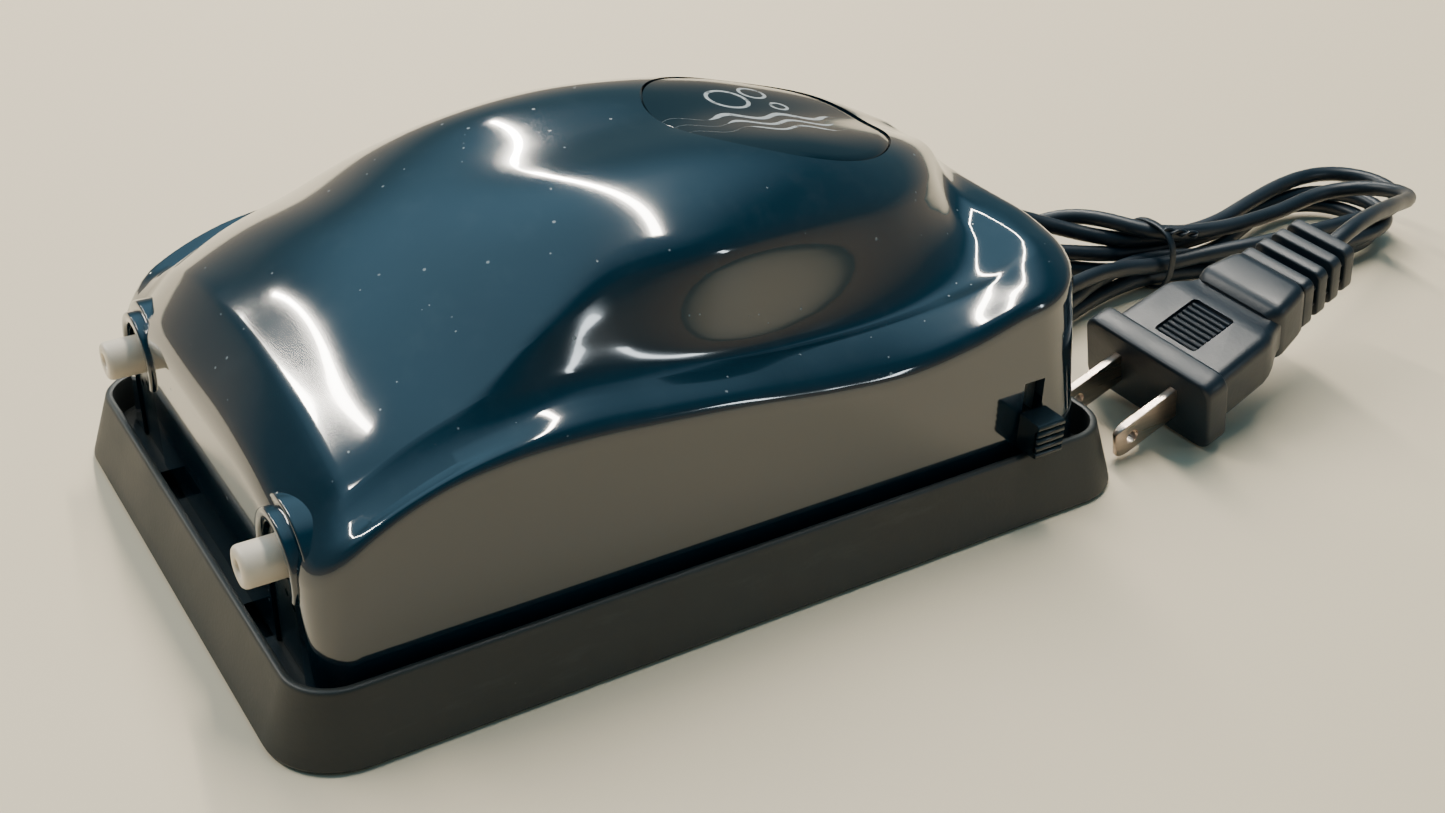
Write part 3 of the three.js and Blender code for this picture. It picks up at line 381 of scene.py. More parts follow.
def circle(radius, y, at, angles):
    """Points about a line along y through (x, z)."""
    x, z = at[0] + radius * np.cos(angles), at[1] + radius * np.sin(angles)
    return np.stack([x, np.full(len(angles), y), z], -1)


def lathe(profile, at, sides=64, turn=(0, 360)):
    """A turned piece from rows of radius and y."""
    whole = turn[1] - turn[0] == 360
    angles = np.radians(np.linspace(*turn, sides, endpoint=not whole))
    points, faces = skinned([circle(r, y, at, angles) for r, y in profile], caps=False)
    if not whole:
        faces = [f for k, f in enumerate(faces) if k % sides != sides - 1]
    return points, faces


def cut(obj, cutters, crease=32.0):
    """obj less the closed shapes given as points and faces."""
    for points, faces in cutters:
        tool = mesh_object("cutter", points, faces, "base_plastic")
        change = obj.modifiers.new("cut", "BOOLEAN")
        change.operation, change.solver, change.object = "DIFFERENCE", "EXACT", tool
        bpy.context.view_layer.update()
        seen = obj.evaluated_get(bpy.context.evaluated_depsgraph_get())
        mesh = bpy.data.meshes.new_from_object(seen)
        obj.modifiers.clear()
        obj.data = mesh
        bpy.data.objects.remove(tool)
    while len(obj.data.materials) > 1:
        obj.data.materials.pop()
    obj.data.polygons.foreach_set("material_index", [0] * len(obj.data.polygons))
    finish_edges(obj, crease)
    return obj


def box(low, high):
    (x0, y0, z0), (x1, y1, z1) = low, high
    ring = [(x0, y0), (x1, y0), (x1, y1), (x0, y1)]
    return skinned([[(x, y, z) for x, y in ring] for z in (z0, z1)])


def rod(radius, y0, y1, at, sides=64):
    angles = np.radians(np.linspace(360, 0, sides, endpoint=False))
    return skinned([circle(radius, y, at, angles) for y in (y0, y1)])


# ---- the shape of the casing ----
# y, crown z, ridge x, ridge z, valley x, valley z, edge z, fall inside and outside the ridge
STATIONS = np.array(
    [
        [-66, 35, 34, 30.5, 40, 29.5, 29, 0.5, 0.3],
        [-58, 40, 36, 34, 41, 33, 35.5, 0.5, 0.4],
        [-48, 47, 37.5, 38.5, 42, 37.5, 40, 0.5, 0.6],
        [-38, 52, 36.5, 42.5, 41, 40, 41.5, 0.5, 0.7],
        [-26, 56, 34, 48.5, 39, 41, 41.5, 0.6, 1.1],
        [-14, 58, 31.5, 52, 38, 39.5, 40.5, 0.8, 1.3],
        [0, 59, 32.5, 53, 37, 37.5, 39, 0.8, 1.6],
        [14, 59, 31, 52.5, 36, 36, 37, 0.9, 1.8],
        [28, 57, 28.5, 51, 35.5, 35.5, 36, 1, 1.9],
        [40, 54.5, 25, 49.5, 34.5, 36, 37.5, 0.9, 1.7],
        [50, 51.5, 19, 48, 33, 37.5, 40, 0.9, 1.5],
        [58, 48, 10.5, 46.5, 28, 41, 41, 0.9, 1.3],
        [64, 45.6, 2.5, 45.5, 23, 44, 41.5, 0.8, 0.9],
        [67, 45.4, 2, 45.5, 20.5, 45.5, 41.5, 0.6, 0.6],
    ]
)


def hermite(t, a, b, slope_a, slope_b):
    """A cubic from a to b with the given slopes at its ends."""
    ends = (2 * t**3 - 3 * t**2 + 1) * a + (3 * t**2 - 2 * t**3) * b
    return ends + (t**3 - 2 * t**2 + t) * slope_a + (t**3 - t**2) * slope_b


def along(column, y):
    """A station column as a smooth curve of y."""
    ys, v = STATIONS[:, 0], STATIONS[:, column]
    slope = np.gradient(v)
    slope[1:-1] = (v[2:] - v[:-2]) / (ys[2:] - ys[:-2])
    slope[0], slope[-1] = (v[1] - v[0]) / (ys[1] - ys[0]), (v[-1] - v[-2]) / (ys[-1] - ys[-2])
    i = np.clip(np.searchsorted(ys, y, side="right") - 1, 0, len(ys) - 2)
    span = ys[i + 1] - ys[i]
    t = np.clip((y - ys[i]) / span, 0, 1)
    return hermite(t, v[i], v[i + 1], slope[i] * span, slope[i + 1] * span)


def depth_inside(x, y):
    """How far a place is inside the casing's outline."""
    radius = np.where(y < 0, CORNER["front_top"], CORNER["rear_top"])
    half_y = (SHELL["rear"] - SHELL["front"]) / 2
    qx = np.abs(x) - (SHELL["half_x"] - radius)
    qy = np.abs(y - (SHELL["front"] + SHELL["rear"]) / 2) - (half_y - radius)
    outside = np.hypot(np.maximum(qx, 0), np.maximum(qy, 0))
    return radius - outside - np.minimum(np.maximum(qx, qy), 0)


def hood_z(x, y):
    """Height of the hood, its flank and the shoulder outside it, with creases between them."""
    across = np.abs(x)
    kx, kz, gz = along(2, y), along(3, y), along(5, y)
    gx = np.maximum(along(4, y), kx + 2)
    wide = gx - kx
    fall = np.minimum(along(8, y) * wide, 3 * np.maximum(kz - gz, 0))
    inner = hermite(np.clip(across / kx, 0, 1), along(1, y), kz, 0, -along(7, y) * kx)
    flank = hermite(np.clip((across - kx) / wide, 0, 1), kz, gz, -fall, 0)
    outer = hermite(np.clip((across - gx) / (SHELL["half_x"] - gx), 0, 1), gz, along(6, y), 0, 0)
    return np.where(across < kx, inner, np.where(across < gx, flank, outer))


def shell_z(x, y, soften=0.5):
    """Height of the casing's top, its creases rounded by a small reach."""
    x, y = np.broadcast_arrays(np.asarray(x, float), np.asarray(y, float))
    hood = sum(hood_z(x + d * soften, y) for d in (-1, -0.5, 0, 0.5, 1)) / 5
    t = np.clip(1 - depth_inside(x, y) / FILLET["width"], 0, 1)
    slope = FILLET["slope_fall"] * t ** FILLET["slope_power"]
    return hood - slope - FILLET["edge_fall"] * (1 - np.sqrt(1 - t ** FILLET["edge_power"]))


def half_width(y):
    """Half the outline's width at y."""
    radius = CORNER["front_top"] if y < 0 else CORNER["rear_top"]
    end = SHELL["front"] + radius - y if y < 0 else y - (SHELL["rear"] - radius)
    return SHELL["half_x"] - (radius - math.sqrt(max(radius**2 - end**2, 0)) if end > 0 else 0)


def at_foot(points):
    """Where the top outline's points stand at the wall's foot, whose corners are tighter."""
    made = []
    for x, y, _ in points:
        name, end = ("front", -SHELL["front"]) if y < 0 else ("rear", SHELL["rear"])
        top, foot = CORNER[f"{name}_top"], CORNER[f"{name}_foot"]
        dx, dy = abs(x) - (SHELL["half_x"] - top), abs(y) - (end - top)
        if dx > 0 and dy > 0:
            k = foot / top
            nx, ny = SHELL["half_x"] - foot + dx * k, end - foot + dy * k
        else:
            nx = abs(x) * ((SHELL["half_x"] - foot) / (SHELL["half_x"] - top) if dy > 0 else 1)
            ny = abs(y) * ((end - foot) / (end - top) if dx > 0 else 1)
        made.append((math.copysign(nx, x), math.copysign(ny, y), SHELL["bottom"]))
    return np.array(made)


# shares of the fillet's width at which the top has points, closest at its edge
EDGE_SHARES = np.array(
    [0, 0.0006, 0.0024, 0.006, 0.011, 0.018, 0.028, 0.042, 0.06]
    + [0.085, 0.12, 0.17, 0.25, 0.4, 0.6, 0.8, 0.92, 1]
)


def top_grid():
    """Rows of places over the casing's top, on its ridges and valleys and close at its edge."""
    steps = FILLET["width"] * EDGE_SHARES
    spacing = 0.8
    middle = np.arange(SHELL["front"] + 8.8, SHELL["rear"] - 8.4, spacing)
    ys = np.concatenate([SHELL["front"] + steps, middle, (SHELL["rear"] - steps)[::-1]])
    rows = []
    for y in ys:
        w = half_width(y)
        inner = w - FILLET["width"]
        valley = min(float(along(4, y)), inner - 0.5)
        ridge = min(float(along(2, y)), valley - 2)
        hood = np.linspace(0, ridge, 29)[1:]
        flank = np.linspace(ridge, valley, 13)[1:]
        shoulder = np.linspace(valley, inner, 6)[1:]
        half = np.concatenate([hood, flank, shoulder, (w - steps)[::-1][1:]])
        rows.append(np.concatenate([-half[::-1], [0], half]))
    xs = np.array(rows)
    return xs, np.broadcast_to(ys[:, None], xs.shape)


def inwards(points, fall):
    """Outer places moved in by the wall and down by a fall."""
    narrow, short = 1 - SHELL["wall"] / SHELL["half_x"], 1 - SHELL["wall"] / SHELL["rear"]
    return points * [narrow, short, 1] - [0, 0, fall]


def casing():
    """The shell: its top, a wall down to the foot, and the same again inside."""
    xs, ys = top_grid()
    count, wide = xs.shape
    top = np.stack([xs, ys, shell_z(xs, ys)], -1).reshape(-1, 3)
    index = np.arange(count * wide).reshape(count, wide)
    rim = np.concatenate([index[0, :-1], index[:-1, -1], index[-1, :0:-1], index[:0:-1, 0]])
    edge = top[rim]
    foot = at_foot(edge)
    levels = [edge + (foot - edge) * t for t in np.linspace(0, 1, 13)[1:]]
    quads = np.stack([index[:-1, :-1], index[:-1, 1:], index[1:, 1:], index[1:, :-1]], -1).reshape(-1, 4)
    base = len(top)
    faces = quads.tolist() + (quads[:, ::-1] + base).tolist()
    points = [top, inwards(top, SHELL["wall"] * 1.1)]
    start, ring = 2 * base, len(rim)
    following = np.roll(np.arange(ring), -1)

    def band(a, b):
        return np.stack([a, b, b[following], a[following]], -1).tolist()

    upper = rim
    for level in [*levels, inwards(foot, 0)]:
        points.append(level)
        lower = np.arange(ring) + start
        faces += band(upper, lower)
        upper, start = lower, start + ring
    faces += band(upper, rim + base)
    return np.vstack(points), faces


def lip(side):
    """Two stepped brows over an outlet."""
    at = (side * OUTLET[0], OUTLET[1] - LIP["drop"])
    quarter = np.radians((0, 22, 45, 67, 90))
    tip = [(LIP["round"] * (1 - math.cos(a)), LIP["round"] * (1 - math.sin(a))) for a in quarter]
    outer = [(8.9, -54.5)] + [(8.9 - d, -64.6 + e) for d, e in tip] + [(7.2, -64.6)]
    inner = [(7.4, -60.0)] + [(7.4 - d, -66.3 + e) for d, e in tip]
    inner += [(6.1, -66.3), (5.75, -66.1), (5.6, -65.7), (5.6, -60)]
    return merged([lathe(profile, at, 64, LIP["turn"]) for profile in (outer, inner)])


def arch(side):
    """The round-topped opening that an outlet stands in."""
    x, radius = side * OUTLET[0], ARCH["radius"]
    angles = np.radians(np.linspace(0, 180, 33))
    outline = [(x + radius * math.cos(a), ARCH["z"] + radius * math.sin(a)) for a in angles]
    outline += [(x - radius, 0), (x + radius, 0)]
    return skinned([[(px, y, z) for px, z in outline] for y in (ARCH["y0"], ARCH["y1"])])


def hood_disc(radius, low, high, rings=14, sides=120, bevel=0.0):
    """A disc that follows the casing's top between two heights above it."""
    angles = np.radians(np.linspace(0, 360, sides, endpoint=False))
    levels = [(r * (radius - bevel) / rings, high) for r in range(1, rings + 1)]
    levels += [(radius, high - bevel)] if bevel else []
    levels += [(radius, low)] + [(r * radius / rings, low) for r in range(rings - 1, 0, -1)]
    made = []
    for r, lift in levels:
        x, y = BADGE_AT[0] + r * np.cos(angles), BADGE_AT[1] + r * np.sin(angles)
        made.append(np.stack([x, y, shell_z(x, y) + lift], -1))
    points, faces = skinned(made)
    points[-2:, 2] = [float(shell_z(*BADGE_AT)) + lift for lift in (high, low)]
    return points, faces


points, faces = casing()
shell = mesh_object("casing_shell", points, faces, "gloss_shell")
cut(
    shell,
    [
        arch(1),
        arch(-1),
        box(*SWITCH_SLOT),
        rod(GLAND_HOLE, 60, 73, GLAND_AT),
        hood_disc(BADGE_RADIUS + 0.3, -1.2, 3.0),
    ],
    30.0,
)
brows = [mesh_object(f"casing_brow_{name}", *lip(side), "gloss_shell", 40.0) for name, side in SIDES]
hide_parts("upper_casing")
inlay = mesh_object("badge_inlay", *hood_disc(BADGE_RADIUS, -0.9, -0.2, bevel=0.12), "badge", 40.0)
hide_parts("badge_plate")


# ---- boot ----
def boot():
    """The soft tray: a flared wall, a rounded rim, and low places in the ledge behind it."""
    half_x, half_y, corner, height, flare, rim = 51.4, 73.4, 11.0, 11.4, 3.15, 1.4
    profile = [(1.2, 0), (0.5, 0.12), (0.15, 0.4), (0, 0.9)]
    profile += [(flare * t, 0.9 + (height - 1.6) * t) for t in (0.25, 0.5, 0.75, 1)]
    profile += [(flare + 0.1, height - 0.35), (flare + 0.3, height - 0.1), (flare + 0.6, height)]
    profile += [(flare + rim - 0.45, height), (flare + rim - 0.15, height - 0.12)]
    profile += [(flare + rim, height - 0.45)]
    profile += [(flare + rim, 7), (flare + rim + 0.05, 5.6), (flare + rim + 0.4, 5.2)]
    profile += [(8.2 + flare, 5.2), (8.5 + flare, 4.9), (8.5 + flare, 2)]
    rings = []
    for inset, z in profile:
        ring = rounded_ring(half_x - inset, half_y - inset, max(corner - inset, 3), 14)
        rings.append(np.column_stack([ring, np.full(len(ring), z)]))
    made = mesh_object("boot", *skinned(rings), "boot_rubber", 34.0)
    reach_x, reach_y = half_x - flare - rim - 0.5, half_y - flare - rim - 0.5
    cuts = [box((x - 4.5, -reach_y, 2), (x + 4.5, reach_y, 20)) for x in (-20, 20)]
    cuts += [box((-reach_x, y - 4.5, 2), (reach_x, y + 4.5, 20)) for y in (-28, 28)]
    return cut(made, cuts, 34.0)


boot_piece = boot()
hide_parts("rubber_base")


# ---- outlets and switch ----
def nozzle(side):
    """A plain spout with a rounded mouth and a collar behind the casing's wall."""
    profile = [(1.22, -61), (1.22, -70.6), (1.3, -71.0), (1.55, -71.2), (2.3, -71.2), (2.75, -71.08)]
    profile += [(3.0, -70.8), (3.1, -70.4), (3.1, -66), (3.1, -61.4), (4.4, -61.4), (4.4, -60.1)]
    profile += [(1.6, -60.1), (1.6, -57.1), (0.9, -57.1), (0.9, -61)]
    return lathe(profile, (side * OUTLET[0], OUTLET[1]), 72)


nozzles = []
for name, side in SIDES:
    nozzles.append(mesh_object(f"air_nozzle_{name}", *nozzle(side), "cream_plastic", 50.0))
    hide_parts(f"outlet_nozzle_{name}")


def knob():
    """Sliding knob with five rounded finger ridges on its outer face."""
    low, high, face, outer, y0, y1 = 11.7, 18.0, 45.5, 50.4, 50.5, 56.1
    pitch = (high - low) / 5
    outline = [(face, high), (face, low)]
    ridge = 0.62
    for k in range(5):
        for t in np.linspace(0, math.pi, 9):
            z = low + pitch * (k + 0.5 - 0.46 * math.cos(t))
            outline.append((outer - ridge + ridge * math.sin(t), z))
    middle = np.array([(face + outer) / 2, (low + high) / 2])
    half = 2.6
    rings = []
    ends = ((0, 0.28), (0.08, 0.1), (0.3, 0))
    for y, inset in [(y0 + d, i) for d, i in ends] + [(y1 - d, i) for d, i in reversed(ends)]:
        shape = middle + (np.array(outline) - middle) * (1 - inset / half)
        rings.append([(x, y, z) for x, z in shape])
    stem = box((37.5, 51.65, 13), (46, 54.95, 16.5))
    return merged([skinned(rings), stem])


knob_piece = mesh_object("flow_knob", *knob(), "base_plastic", 28.0)
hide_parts("switch_knob")


# ---- strain relief at the casing ----
def gland():
    """A grommet in the wall, then a sleeve of six rings that get smaller."""
    profile = [(0.01, 62.6), (4.8, 62.6), (4.8, 64.4), (3.05, 64.4), (3.05, 67.2)]
    profile += [(4.4, 67.2), (4.6, 67.5), (4.6, 68.5), (4.3, 68.8), (3.7, 68.9)]
    for k in range(6):
        y, r = 69.6 + 3.2 * k, 3.6 - 0.2 * k
        profile += [(r - 0.1, y), (r, y + 0.25), (r, y + 1.75), (r - 0.15, y + 2.0)]
        profile += [(r - 0.85, y + 2.1), (r - 0.9, y + 2.9), (r - 0.3, y + 3.1)]
    profile += [(2.15, 89.2), (2.1, 91.7), (1.95, 92), (1.62, 92), (1.6, 90)]
    return lathe(profile, GLAND_AT, 40)


gland_piece = mesh_object("cord_boot", *gland(), "black_pvc", 50.0)
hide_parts("cord_gland")

# ---- mains cord: gland, hank tied at its waist, plug ----
CORD_WAY = [
    (-20, 89.5, 16), (-20, 92, 16), (-20.4, 96, 15.9), (-20.9, 100, 15.3), (-20.9, 104.5, 14),
    (-19.2, 109, 12.4), (-15.9, 114.5, 10.7), (-11.5, 120.5, 9.3), (-7.6, 126.5, 8.7), (-5.5, 133, 8.7),
    (-4.7, 146, 9), (-8.5, 161, 9.2), (-11.6, 173, 9.2), (-12.6, 184, 9.2), (-9.7, 191.7, 9.2),
    (-2, 195, 9.2), (5.7, 191.7, 9.2), (8.8, 184, 9.2), (8.7, 173, 9.2), (8.1, 161, 9.1),
    (6.6, 149, 8.8), (2.5, 138, 7.3), (-0.5, 128, 5.8), (-0.7, 119, 7.2), (0.8, 109, 8.8),
    (2.9, 99, 9.1), (3.8, 92.5, 9.3), (0.7, 85.1, 9.3), (-6.8, 81.9, 9.2), (-14.3, 85.1, 9.1),
    (-17.4, 93, 9), (-16.4, 101, 8.5), (-12.8, 112, 7.3), (-9.3, 121, 6.2), (-7.7, 128, 5.6),
    (-6.4, 137, 5.7), (-6.4, 150, 5.9), (-10.1, 165, 5.9), (-11.5, 180, 5.9), (-8.6, 188, 5.9),
    (-1.1, 191.2, 5.9), (6.6, 188, 5.9), (10, 180, 5.9), (10.4, 168, 5.9), (8, 155, 5.6),
    (1.3, 142, 5.4), (-2.9, 133, 5.5), (-4.2, 127, 5.6), (-3.8, 120, 5.6), (-0.9, 109.5, 5.8),
    (3.4, 99.5, 5.9), (4.9, 91, 5.9), (1.7, 83.6, 5.9), (-5.9, 80.8, 5.9), (-13.7, 83.6, 5.9),
    (-17.4, 91, 5.8), (-17.8, 99, 5.4), (-14.4, 110, 4.1), (-8.8, 120, 2.8), (-5.8, 128, 2.5),
    (-4.8, 137, 2.5), (-5.4, 150, 2.6), (-10.4, 163, 2.6), (-13.3, 176, 2.6), (-11, 185.8, 2.6),
    (-3, 189.8, 2.6), (5.1, 186, 2.6), (8.3, 177, 2.6), (7.2, 163, 2.6), (4.2, 148, 2.5),
    (-0.5, 136, 2.4), (-2.5, 128, 2.4), (-2.3, 119, 2.4), (0.1, 108, 2.4), (3.2, 98, 2.5),
    (4.2, 90, 2.5), (0.9, 82, 2.5), (-7.4, 78.6, 2.5), (-15.9, 81.2, 2.5), (-20.4, 88, 2.6),
    (-22.8, 96, 3.2), (-24.2, 104, 5.6), (-22.7, 111, 9), (-18.6, 117, 11.8), (-13, 121.4, 12.7),
    (-8, 125, 12.2), (-3, 129, 11.6), (-0.6, 136, 11.3), (0.2, 146, 10.6), (-0.4, 155, 10.2),
    (-1.2, 163, 10), (-2.4, 171.1, 10.2), (-2, 178.1, 10.9), (2, 183.7, 12), (7.6, 185.4, 13.3),
    (13.3, 183.4, 14.7), (17.3, 178, 16.3), (19.9, 171.5, 18.1), (23.8, 163, 20.6), (27.2, 154.5, 22.6),
    (30.4, 146, 23.9), (32.3, 140, 23.9), (33.3, 133.6, 22.1), (33.6, 129.8, 20.9),
]


def between(t, a, b, start, end):
    """From a at start to b at end, evenly in t."""
    return ((end - t) * a + (t - start) * b) / (end - start)


def smooth_way(way, step):
    """An even, gently relaxed line through the points (centripetal Catmull-Rom)."""
    p = np.array(way, float)
    q = np.vstack([2 * p[0] - p[1], p, 2 * p[-1] - p[-2]])
    made = []
    for k in range(1, len(q) - 2):
        four = q[k - 1 : k + 3]
        far = np.linalg.norm(np.diff(four, axis=0), axis=1)
        knots = np.concatenate([[0], np.cumsum(np.sqrt(far))])
        t = np.linspace(knots[1], knots[2], 12, endpoint=False)[:, None]
        rows = [point[None] for point in four]
        for reach in (1, 2):
            pairs = zip(rows, rows[1:], knots, knots[reach:])
            rows = [between(t, a, b, start, end) for a, b, start, end in pairs]
        made.append(between(t, *rows, knots[1], knots[2]))
    line = even(np.vstack([*made, p[-1:]]), 1.0)
    for _ in range(10):
        middle = line.copy()
        middle[2:-2] = (line[:-4] + 4 * line[1:-3] + 6 * line[2:-2] + 4 * line[3:-1] + line[4:]) / 16
        line = middle
    return even(line, step)


def even(line, step):
    """The same line with points an equal step apart."""
    far = np.concatenate([[0], np.cumsum(np.linalg.norm(np.diff(line, axis=0), axis=1))])
    places = np.linspace(0, far[-1], int(round(far[-1] / step)) + 1)
    return np.stack([np.interp(places, far, line[:, k]) for k in range(3)], 1)


def curve_object(name, line, radius, slot):
    curve = bpy.data.curves.new(name, "CURVE")
    curve.dimensions, curve.bevel_depth, curve.bevel_resolution = "3D", radius * MM, 5
    curve.use_fill_caps = True
    spline = curve.splines.new("POLY")
    spline.points.add(len(line) - 1)
    spline.points.foreach_set("co", np.column_stack([line * MM, np.ones(len(line))]).ravel())
    spline.use_smooth = True
    obj = bpy.data.objects.new(name, curve)
    bpy.context.collection.objects.link(obj)
    curve.materials.append(LOOKS[slot].material)
    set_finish(obj, slot)
    return obj


cord_line = smooth_way(CORD_WAY, 1.8)
cord = curve_object("mains_cord", cord_line, CORD_RADIUS, "black_pvc")
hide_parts("mains_cord_tail", "mains_cord_hank", "mains_cord_lead")


def tie_band():
    """A thin flat strip round the hank, on a rounded square."""
    power = TIE["power"]
    section = rounded_ring(0.32, 0.75, 0.3, 3)
    rings = []
    for a in np.radians(np.linspace(0, 360, 72, endpoint=False)):
        out = np.array((math.cos(a), math.sin(a)))
        reach = 1 / np.sum((np.abs(out) / TIE["reach"]) ** power) ** (1 / power)
        x, z = np.array(TIE["middle"]) + out * (reach + TIE["gap"])
        rings.append([(x + out[0] * r, TIE["y"] + w, z + out[1] * r) for r, w in section])
    return skinned(rings + rings[:1], caps=False)


def tie_twists():
    """The strip's two ends, twisted about each other."""
    start, end, radius = np.array((-1.2, 128, 13.2)), np.array((4.4, 132.0, 13.6)), 0.42
    line = (end - start) / np.linalg.norm(end - start)
    side = np.cross(line, (0, 0, 1))
    side /= np.linalg.norm(side)
    over = np.cross(side, line)
    made = []
    for phase in (0, math.pi):
        rings = []
        for t in np.linspace(0, 1, 40):
            turn = phase + t * 3 * math.pi
            a = side * math.cos(turn) + over * math.sin(turn)
            b = over * math.cos(turn) - side * math.sin(turn)
            centre = start + (end - start) * t + a * radius
            around = np.radians(np.arange(0, 360, 45))
            rings.append([centre + (a * math.cos(k) + b * math.sin(k)) * radius for k in around])
        made.append(skinned(rings))
    return made


def tie():
    return merged([tie_band(), *tie_twists()])


tie_piece = mesh_object("hank_strip", *tie(), "black_pvc", 50.0)
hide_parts("hank_tie")

# ---- plug, in its own frame: x across, y from its face to the cord, z up ----
PLUG_PLACE = (
    Matrix.Translation(Vector(PLUG["at"]))
    @ Matrix.Rotation(math.radians(PLUG["yaw"]), 4, "Z")
    @ Matrix.Rotation(math.radians(PLUG["tilt"]), 4, "X")
    @ Matrix.Rotation(math.radians(PLUG["roll"]), 4, "Y")
)


def from_plug(part):
    """Points and faces of the plug's frame in the pump's frame."""
    points, faces = part
    matrix = np.array(PLUG_PLACE)
    return np.asarray(points, float) @ matrix[:3, :3].T + matrix[:3, 3], faces


def loaf(rows, per_corner=6):
    """A rounded body from rows of place, half width, half thickness and corner."""
    rings = []
    for y, half_x, half_z, corner in rows:
        ring = rounded_ring(half_x, half_z, min(corner, half_x * 0.98, half_z * 0.98), per_corner)
        rings.append([(a, y, -b) for a, b in ring])
    return skinned(rings)


def slab(y0, y1, half_x, half_z, corner, edge):
    """A loaf of one size with rounded ends."""
    front, back = [], []
    for a in np.radians((0, 30, 60, 90)):
        along_y, inset = edge * (1 - math.cos(a)), edge * (1 - math.sin(a))
        size = (half_x - inset, half_z - inset, corner)
        front.append((y0 + along_y, *size))
        back.insert(0, (y1 - along_y, *size))
    return loaf(front + back)


# rows of place, half width, half thickness and corner
PLUG_WAIST = [
    (4.2, 12.4, 5.6, 2.2), (6, 12.4, 5.6, 2.2), (17, 12, 5.6, 2.2), (18.6, 11.7, 5.45, 2.2),
    (20, 11.2, 5.0, 2.2), (21.6, 10.3, 4.55, 2.2), (23.2, 9.5, 4.4, 2.2), (24.6, 9.0, 4.6, 2.2),
    (25.4, 8.8, 5.0, 2),
]
PLUG_NECK = [
    (22.6, 8.2, 5.0, 2), (23.6, 8.9, 5.75, 2), (24.6, 9.1, 6.1, 2), (25.6, 9.1, 6.2, 2),
    (30.6, 8.2, 6.05, 2), (31.8, 7.9, 5.8, 2), (32.6, 7.2, 5.1, 2),
]
RELIEF_BARS = ((32.4, 35.0), (36.6, 39.0), (40.6, 43.0), (44.6, 47.0))
WINDOW = {"y": 12.3, "half_x": 4.6, "half_y": 5.3, "floor": 4.75, "ribs": 8, "pitch": 1.24}


def strain_relief():
    """Four bars, a core through them and a thin web over and under the core."""
    bars = []
    for k, (y0, y1) in enumerate(RELIEF_BARS):
        bars.append(slab(y0, y1, 7.6 - 0.3 * k, 5.3 - 0.13 * k, 1.6, 0.35))
    core = loaf([(31, 3.4, 2.3, 0.8), (46, 3.0, 2.2, 0.8)])
    webs = []
    for up in (1, -1):
        points, faces = loaf([(33.5, 6.9, 0.35, 0.3), (45.5, 6.0, 0.35, 0.3)])
        webs.append((points + [0, 0, 1.85 * up], faces))
    return [*bars, core, *webs]


def window_well(up):
    """The sunk field on the plug's upper or lower face."""
    ring = rounded_ring(WINDOW["half_x"], WINDOW["half_y"], 0.8, 4)
    heights = (WINDOW["floor"], 8) if up > 0 else (-8, -WINDOW["floor"])
    return skinned([[(a, WINDOW["y"] + b, z) for a, b in ring] for z in heights])


def window_ribs(up):
    """Finger ribs across the sunk field."""
    angles = np.radians(np.arange(0, 360, 30))
    made = []
    for k in range(WINDOW["ribs"]):
        y = WINDOW["y"] + (k - (WINDOW["ribs"] - 1) / 2) * WINDOW["pitch"]
        rings = [
            [(x, y + 0.4 * s * math.cos(a), up * 4.82 + 0.52 * s * math.sin(a)) for a in angles]
            for x, s in ((-4.35, 0.5), (-4.1, 1), (4.1, 1), (4.35, 0.5))
        ]
        made.append(skinned(rings))
    return made


def plug():
    """A flange, a waisted body with a ribbed field on both faces, a neck and the strain relief."""
    flange = slab(0, 5, 14.2, 7.5, 2.6, 0.7)
    body = mesh_object("mains_plug", *from_plug(flange), "black_pvc", 38.0)
    core = mesh_object("plug_core", *from_plug(loaf(PLUG_WAIST)), "black_pvc", 38.0)
    cut(core, [from_plug(window_well(up)) for up in (1, -1)], 38.0)
    rest = [loaf(PLUG_NECK), *strain_relief(), *window_ribs(1), *window_ribs(-1)]
    return join(body, core, mesh_object("plug_rest", *from_plug(merged(rest)), "black_pvc", 38.0))


def join(first, *others):
    """The first object with the others' meshes in it."""
    parts = []
    for obj in (first, *others):
        points = np.array([v.co for v in obj.data.vertices]) / MM
        parts.append((points, [list(p.vertices) for p in obj.data.polygons]))
    name, slot = first.name, first["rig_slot"]
    for obj in (first, *others):
        bpy.data.objects.remove(obj)
    return mesh_object(name, *merged(parts), slot, 38.0)


plug_piece = plug()
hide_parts("plug_body")


def blade(name, side):
    """A flat blade with a bevelled tip and a round hole."""
    x, tip = side * BLADE["x"], -BLADE["length"]
    full = (BLADE["half_thick"], BLADE["half_width"], 0.2)
    rows = [(tip, 0.3, 2.2, 0.25), (tip + 0.15, 0.5, 2.55, 0.3), (tip + 0.7, 0.66, 2.95, 0.35)]
    rows += [(tip + 1.5, 0.74, 3.15, 0.3), (tip + 2.4, *full), (3.5, *full)]
    points, faces = loaf(rows, 3)
    made = mesh_object(f"blade_{name}", *from_plug((points + [x, 0, 0], faces)), "blade_metal", 40.0)
    angles = np.radians(np.linspace(0, 360, 40, endpoint=False))
    ring = [(BLADE["hole_y"] + BLADE["hole"] * math.cos(a), BLADE["hole"] * math.sin(a)) for a in angles]
    hole = skinned([[(px, y, z) for y, z in ring] for px in (x - 2, x + 2)])
    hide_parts(f"plug_blade_{name}")
    return cut(made, [from_plug(hole)], 40.0)


blades = [blade(name, side) for name, side in SIDES]


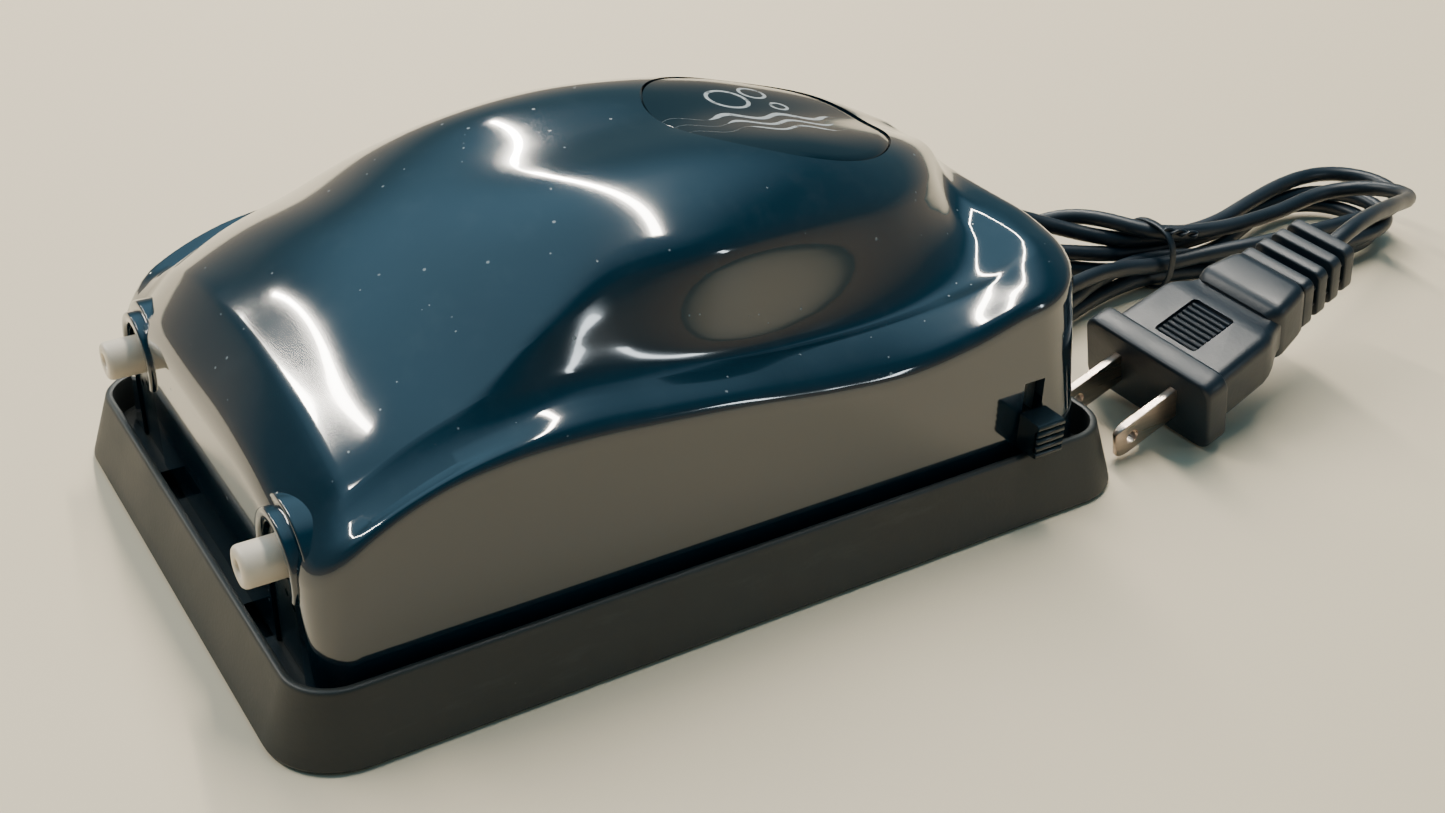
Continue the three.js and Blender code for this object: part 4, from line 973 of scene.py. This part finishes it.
# ---- diaphragms ----
def diaphragm(name, side):
    """A rubber cup: a thick rim, a thin sloping wall and a flat centre with a hole."""
    low, high, radius = 19.6, 26.5, 11.4
    profile = [(1.3, high), (4.6, high), (5.1, high - 0.15), (6.4, high - 1.1), (7.4, high - 2.2)]
    profile += [(8.6, low + 3.5), (9.6, low + 3.0), (radius - 0.9, low + 2.75), (radius - 0.25, low + 2.3)]
    profile += [(radius, low + 1.6), (radius, low), (radius - 1.6, low), (radius - 1.8, low + 1.6)]
    profile += [(radius - 2.6, low + 2.2), (7.0, low + 3.3), (5.4, high - 2.2), (4.4, high - 1.4)]
    profile += [(1.3, high - 1.4), (1.3, high)]
    points, faces = lathe(profile, (0, 0), 72)
    points = np.stack([side * points[:, 1], points[:, 0] + ARM_Y, points[:, 2] + ARM_Z], -1)
    made = mesh_object(f"soft_diaphragm_{name}", points, faces, "soft_rubber", 50.0)
    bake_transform(made)
    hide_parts(f"diaphragm_{name}")


for name, side in SIDES:
    diaphragm(name, side)

# ---- what rides on what ----
still = (shell, *brows, inlay, boot_piece, *nozzles, gland_piece, cord, tie_piece, plug_piece, *blades)
for piece in still:
    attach(piece, "pump_body")
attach(knob_piece, "flow_slider")


# ---- floor and light ----
def floor():
    mesh = bpy.data.meshes.new("floor")
    mesh.from_pydata([(-4, -4, 0), (4, -4, 0), (4, 4, 0), (-4, 4, 0)], [], [(0, 1, 2, 3)])
    made = bpy.data.objects.new("floor", mesh)
    bpy.context.collection.objects.link(made)
    look = Look("floor", (0.78, 0.64, 0.45), 0.6)
    clouds = look.ramp(look.noise(3.0, 3.0), 0.3, 0.7)
    look.set("Base Color", look.mix(clouds, look.color, (0.8, 0.66, 0.47)))
    mesh.materials.append(look.material)


# rise toward the zenith, from 0 to 1, and the colour there
SKY = ((0.0, (0.42, 0.36, 0.28)), (0.3, (0.1, 0.17, 0.2)), (0.9, (0.04, 0.15, 0.24)))
GLOW = {"toward": (-0.38, -0.05, 0.92), "color": (0.4, 0.75, 1.0), "from": 0.62, "to": 0.99}
WARM, COOL = (1, 0.93, 0.82), (0.85, 0.95, 1)


def area(name, place, size, power, color=(1, 1, 1), target=None, turn=0.0):
    light = bpy.data.lights.new(name, "AREA")
    light.shape = "RECTANGLE"
    light.size, light.size_y = size
    light.energy, light.color = power, color
    obj = bpy.data.objects.new(name, light)
    bpy.context.collection.objects.link(obj)
    obj.location = place
    obj.rotation_euler = (0, 0, math.radians(turn))
    if target:
        obj.rotation_euler = (Vector(target) - Vector(place)).to_track_quat("-Z", "Y").to_euler()


def sky():
    """A dim room, bluer overhead, with a soft glow above and to the left."""
    world = bpy.data.worlds.new("sky")
    bpy.context.scene.world = world
    world.use_nodes = True
    nodes, links = world.node_tree.nodes, world.node_tree.links
    back = nodes["Background"]
    coords = nodes.new("ShaderNodeTexCoord").outputs["Generated"]
    parts = nodes.new("ShaderNodeSeparateXYZ")
    ramp = nodes.new("ShaderNodeValToRGB")
    links.new(coords, parts.inputs[0])
    links.new(parts.outputs["Z"], ramp.inputs["Fac"])
    for k, (at, color) in enumerate(SKY):
        stop = ramp.color_ramp.elements[k] if k < 2 else ramp.color_ramp.elements.new(at)
        stop.position, stop.color = at, (*color, 1)
    toward = nodes.new("ShaderNodeVectorMath")
    toward.operation = "DOT_PRODUCT"
    links.new(coords, toward.inputs[0])
    toward.inputs[1].default_value = Vector(GLOW["toward"]).normalized()
    glow = nodes.new("ShaderNodeMapRange")
    glow.interpolation_type = "SMOOTHSTEP"
    links.new(toward.outputs["Value"], glow.inputs["Value"])
    glow.inputs["From Min"].default_value = GLOW["from"]
    glow.inputs["From Max"].default_value = GLOW["to"]
    blend = nodes.new("ShaderNodeMix")
    blend.data_type = "RGBA"
    links.new(glow.outputs["Result"], blend.inputs[0])
    links.new(ramp.outputs["Color"], blend.inputs[6])
    blend.inputs[7].default_value = (*GLOW["color"], 1)
    links.new(blend.outputs[2], back.inputs["Color"])


floor()
sky()
area("tube_rear", (-1.0, 0.5, 1.1), (2.2, 0.035), 36, WARM, turn=-10)
area("tube_front", (-1.35, -0.8, 1.1), (2.2, 0.025), 28, WARM, turn=11)
area("window", (1.0, 0.75, 0.45), (0.05, 0.26), 0.8, COOL, target=(0, 0.03, 0.03))

bpy.context.view_layer.update()
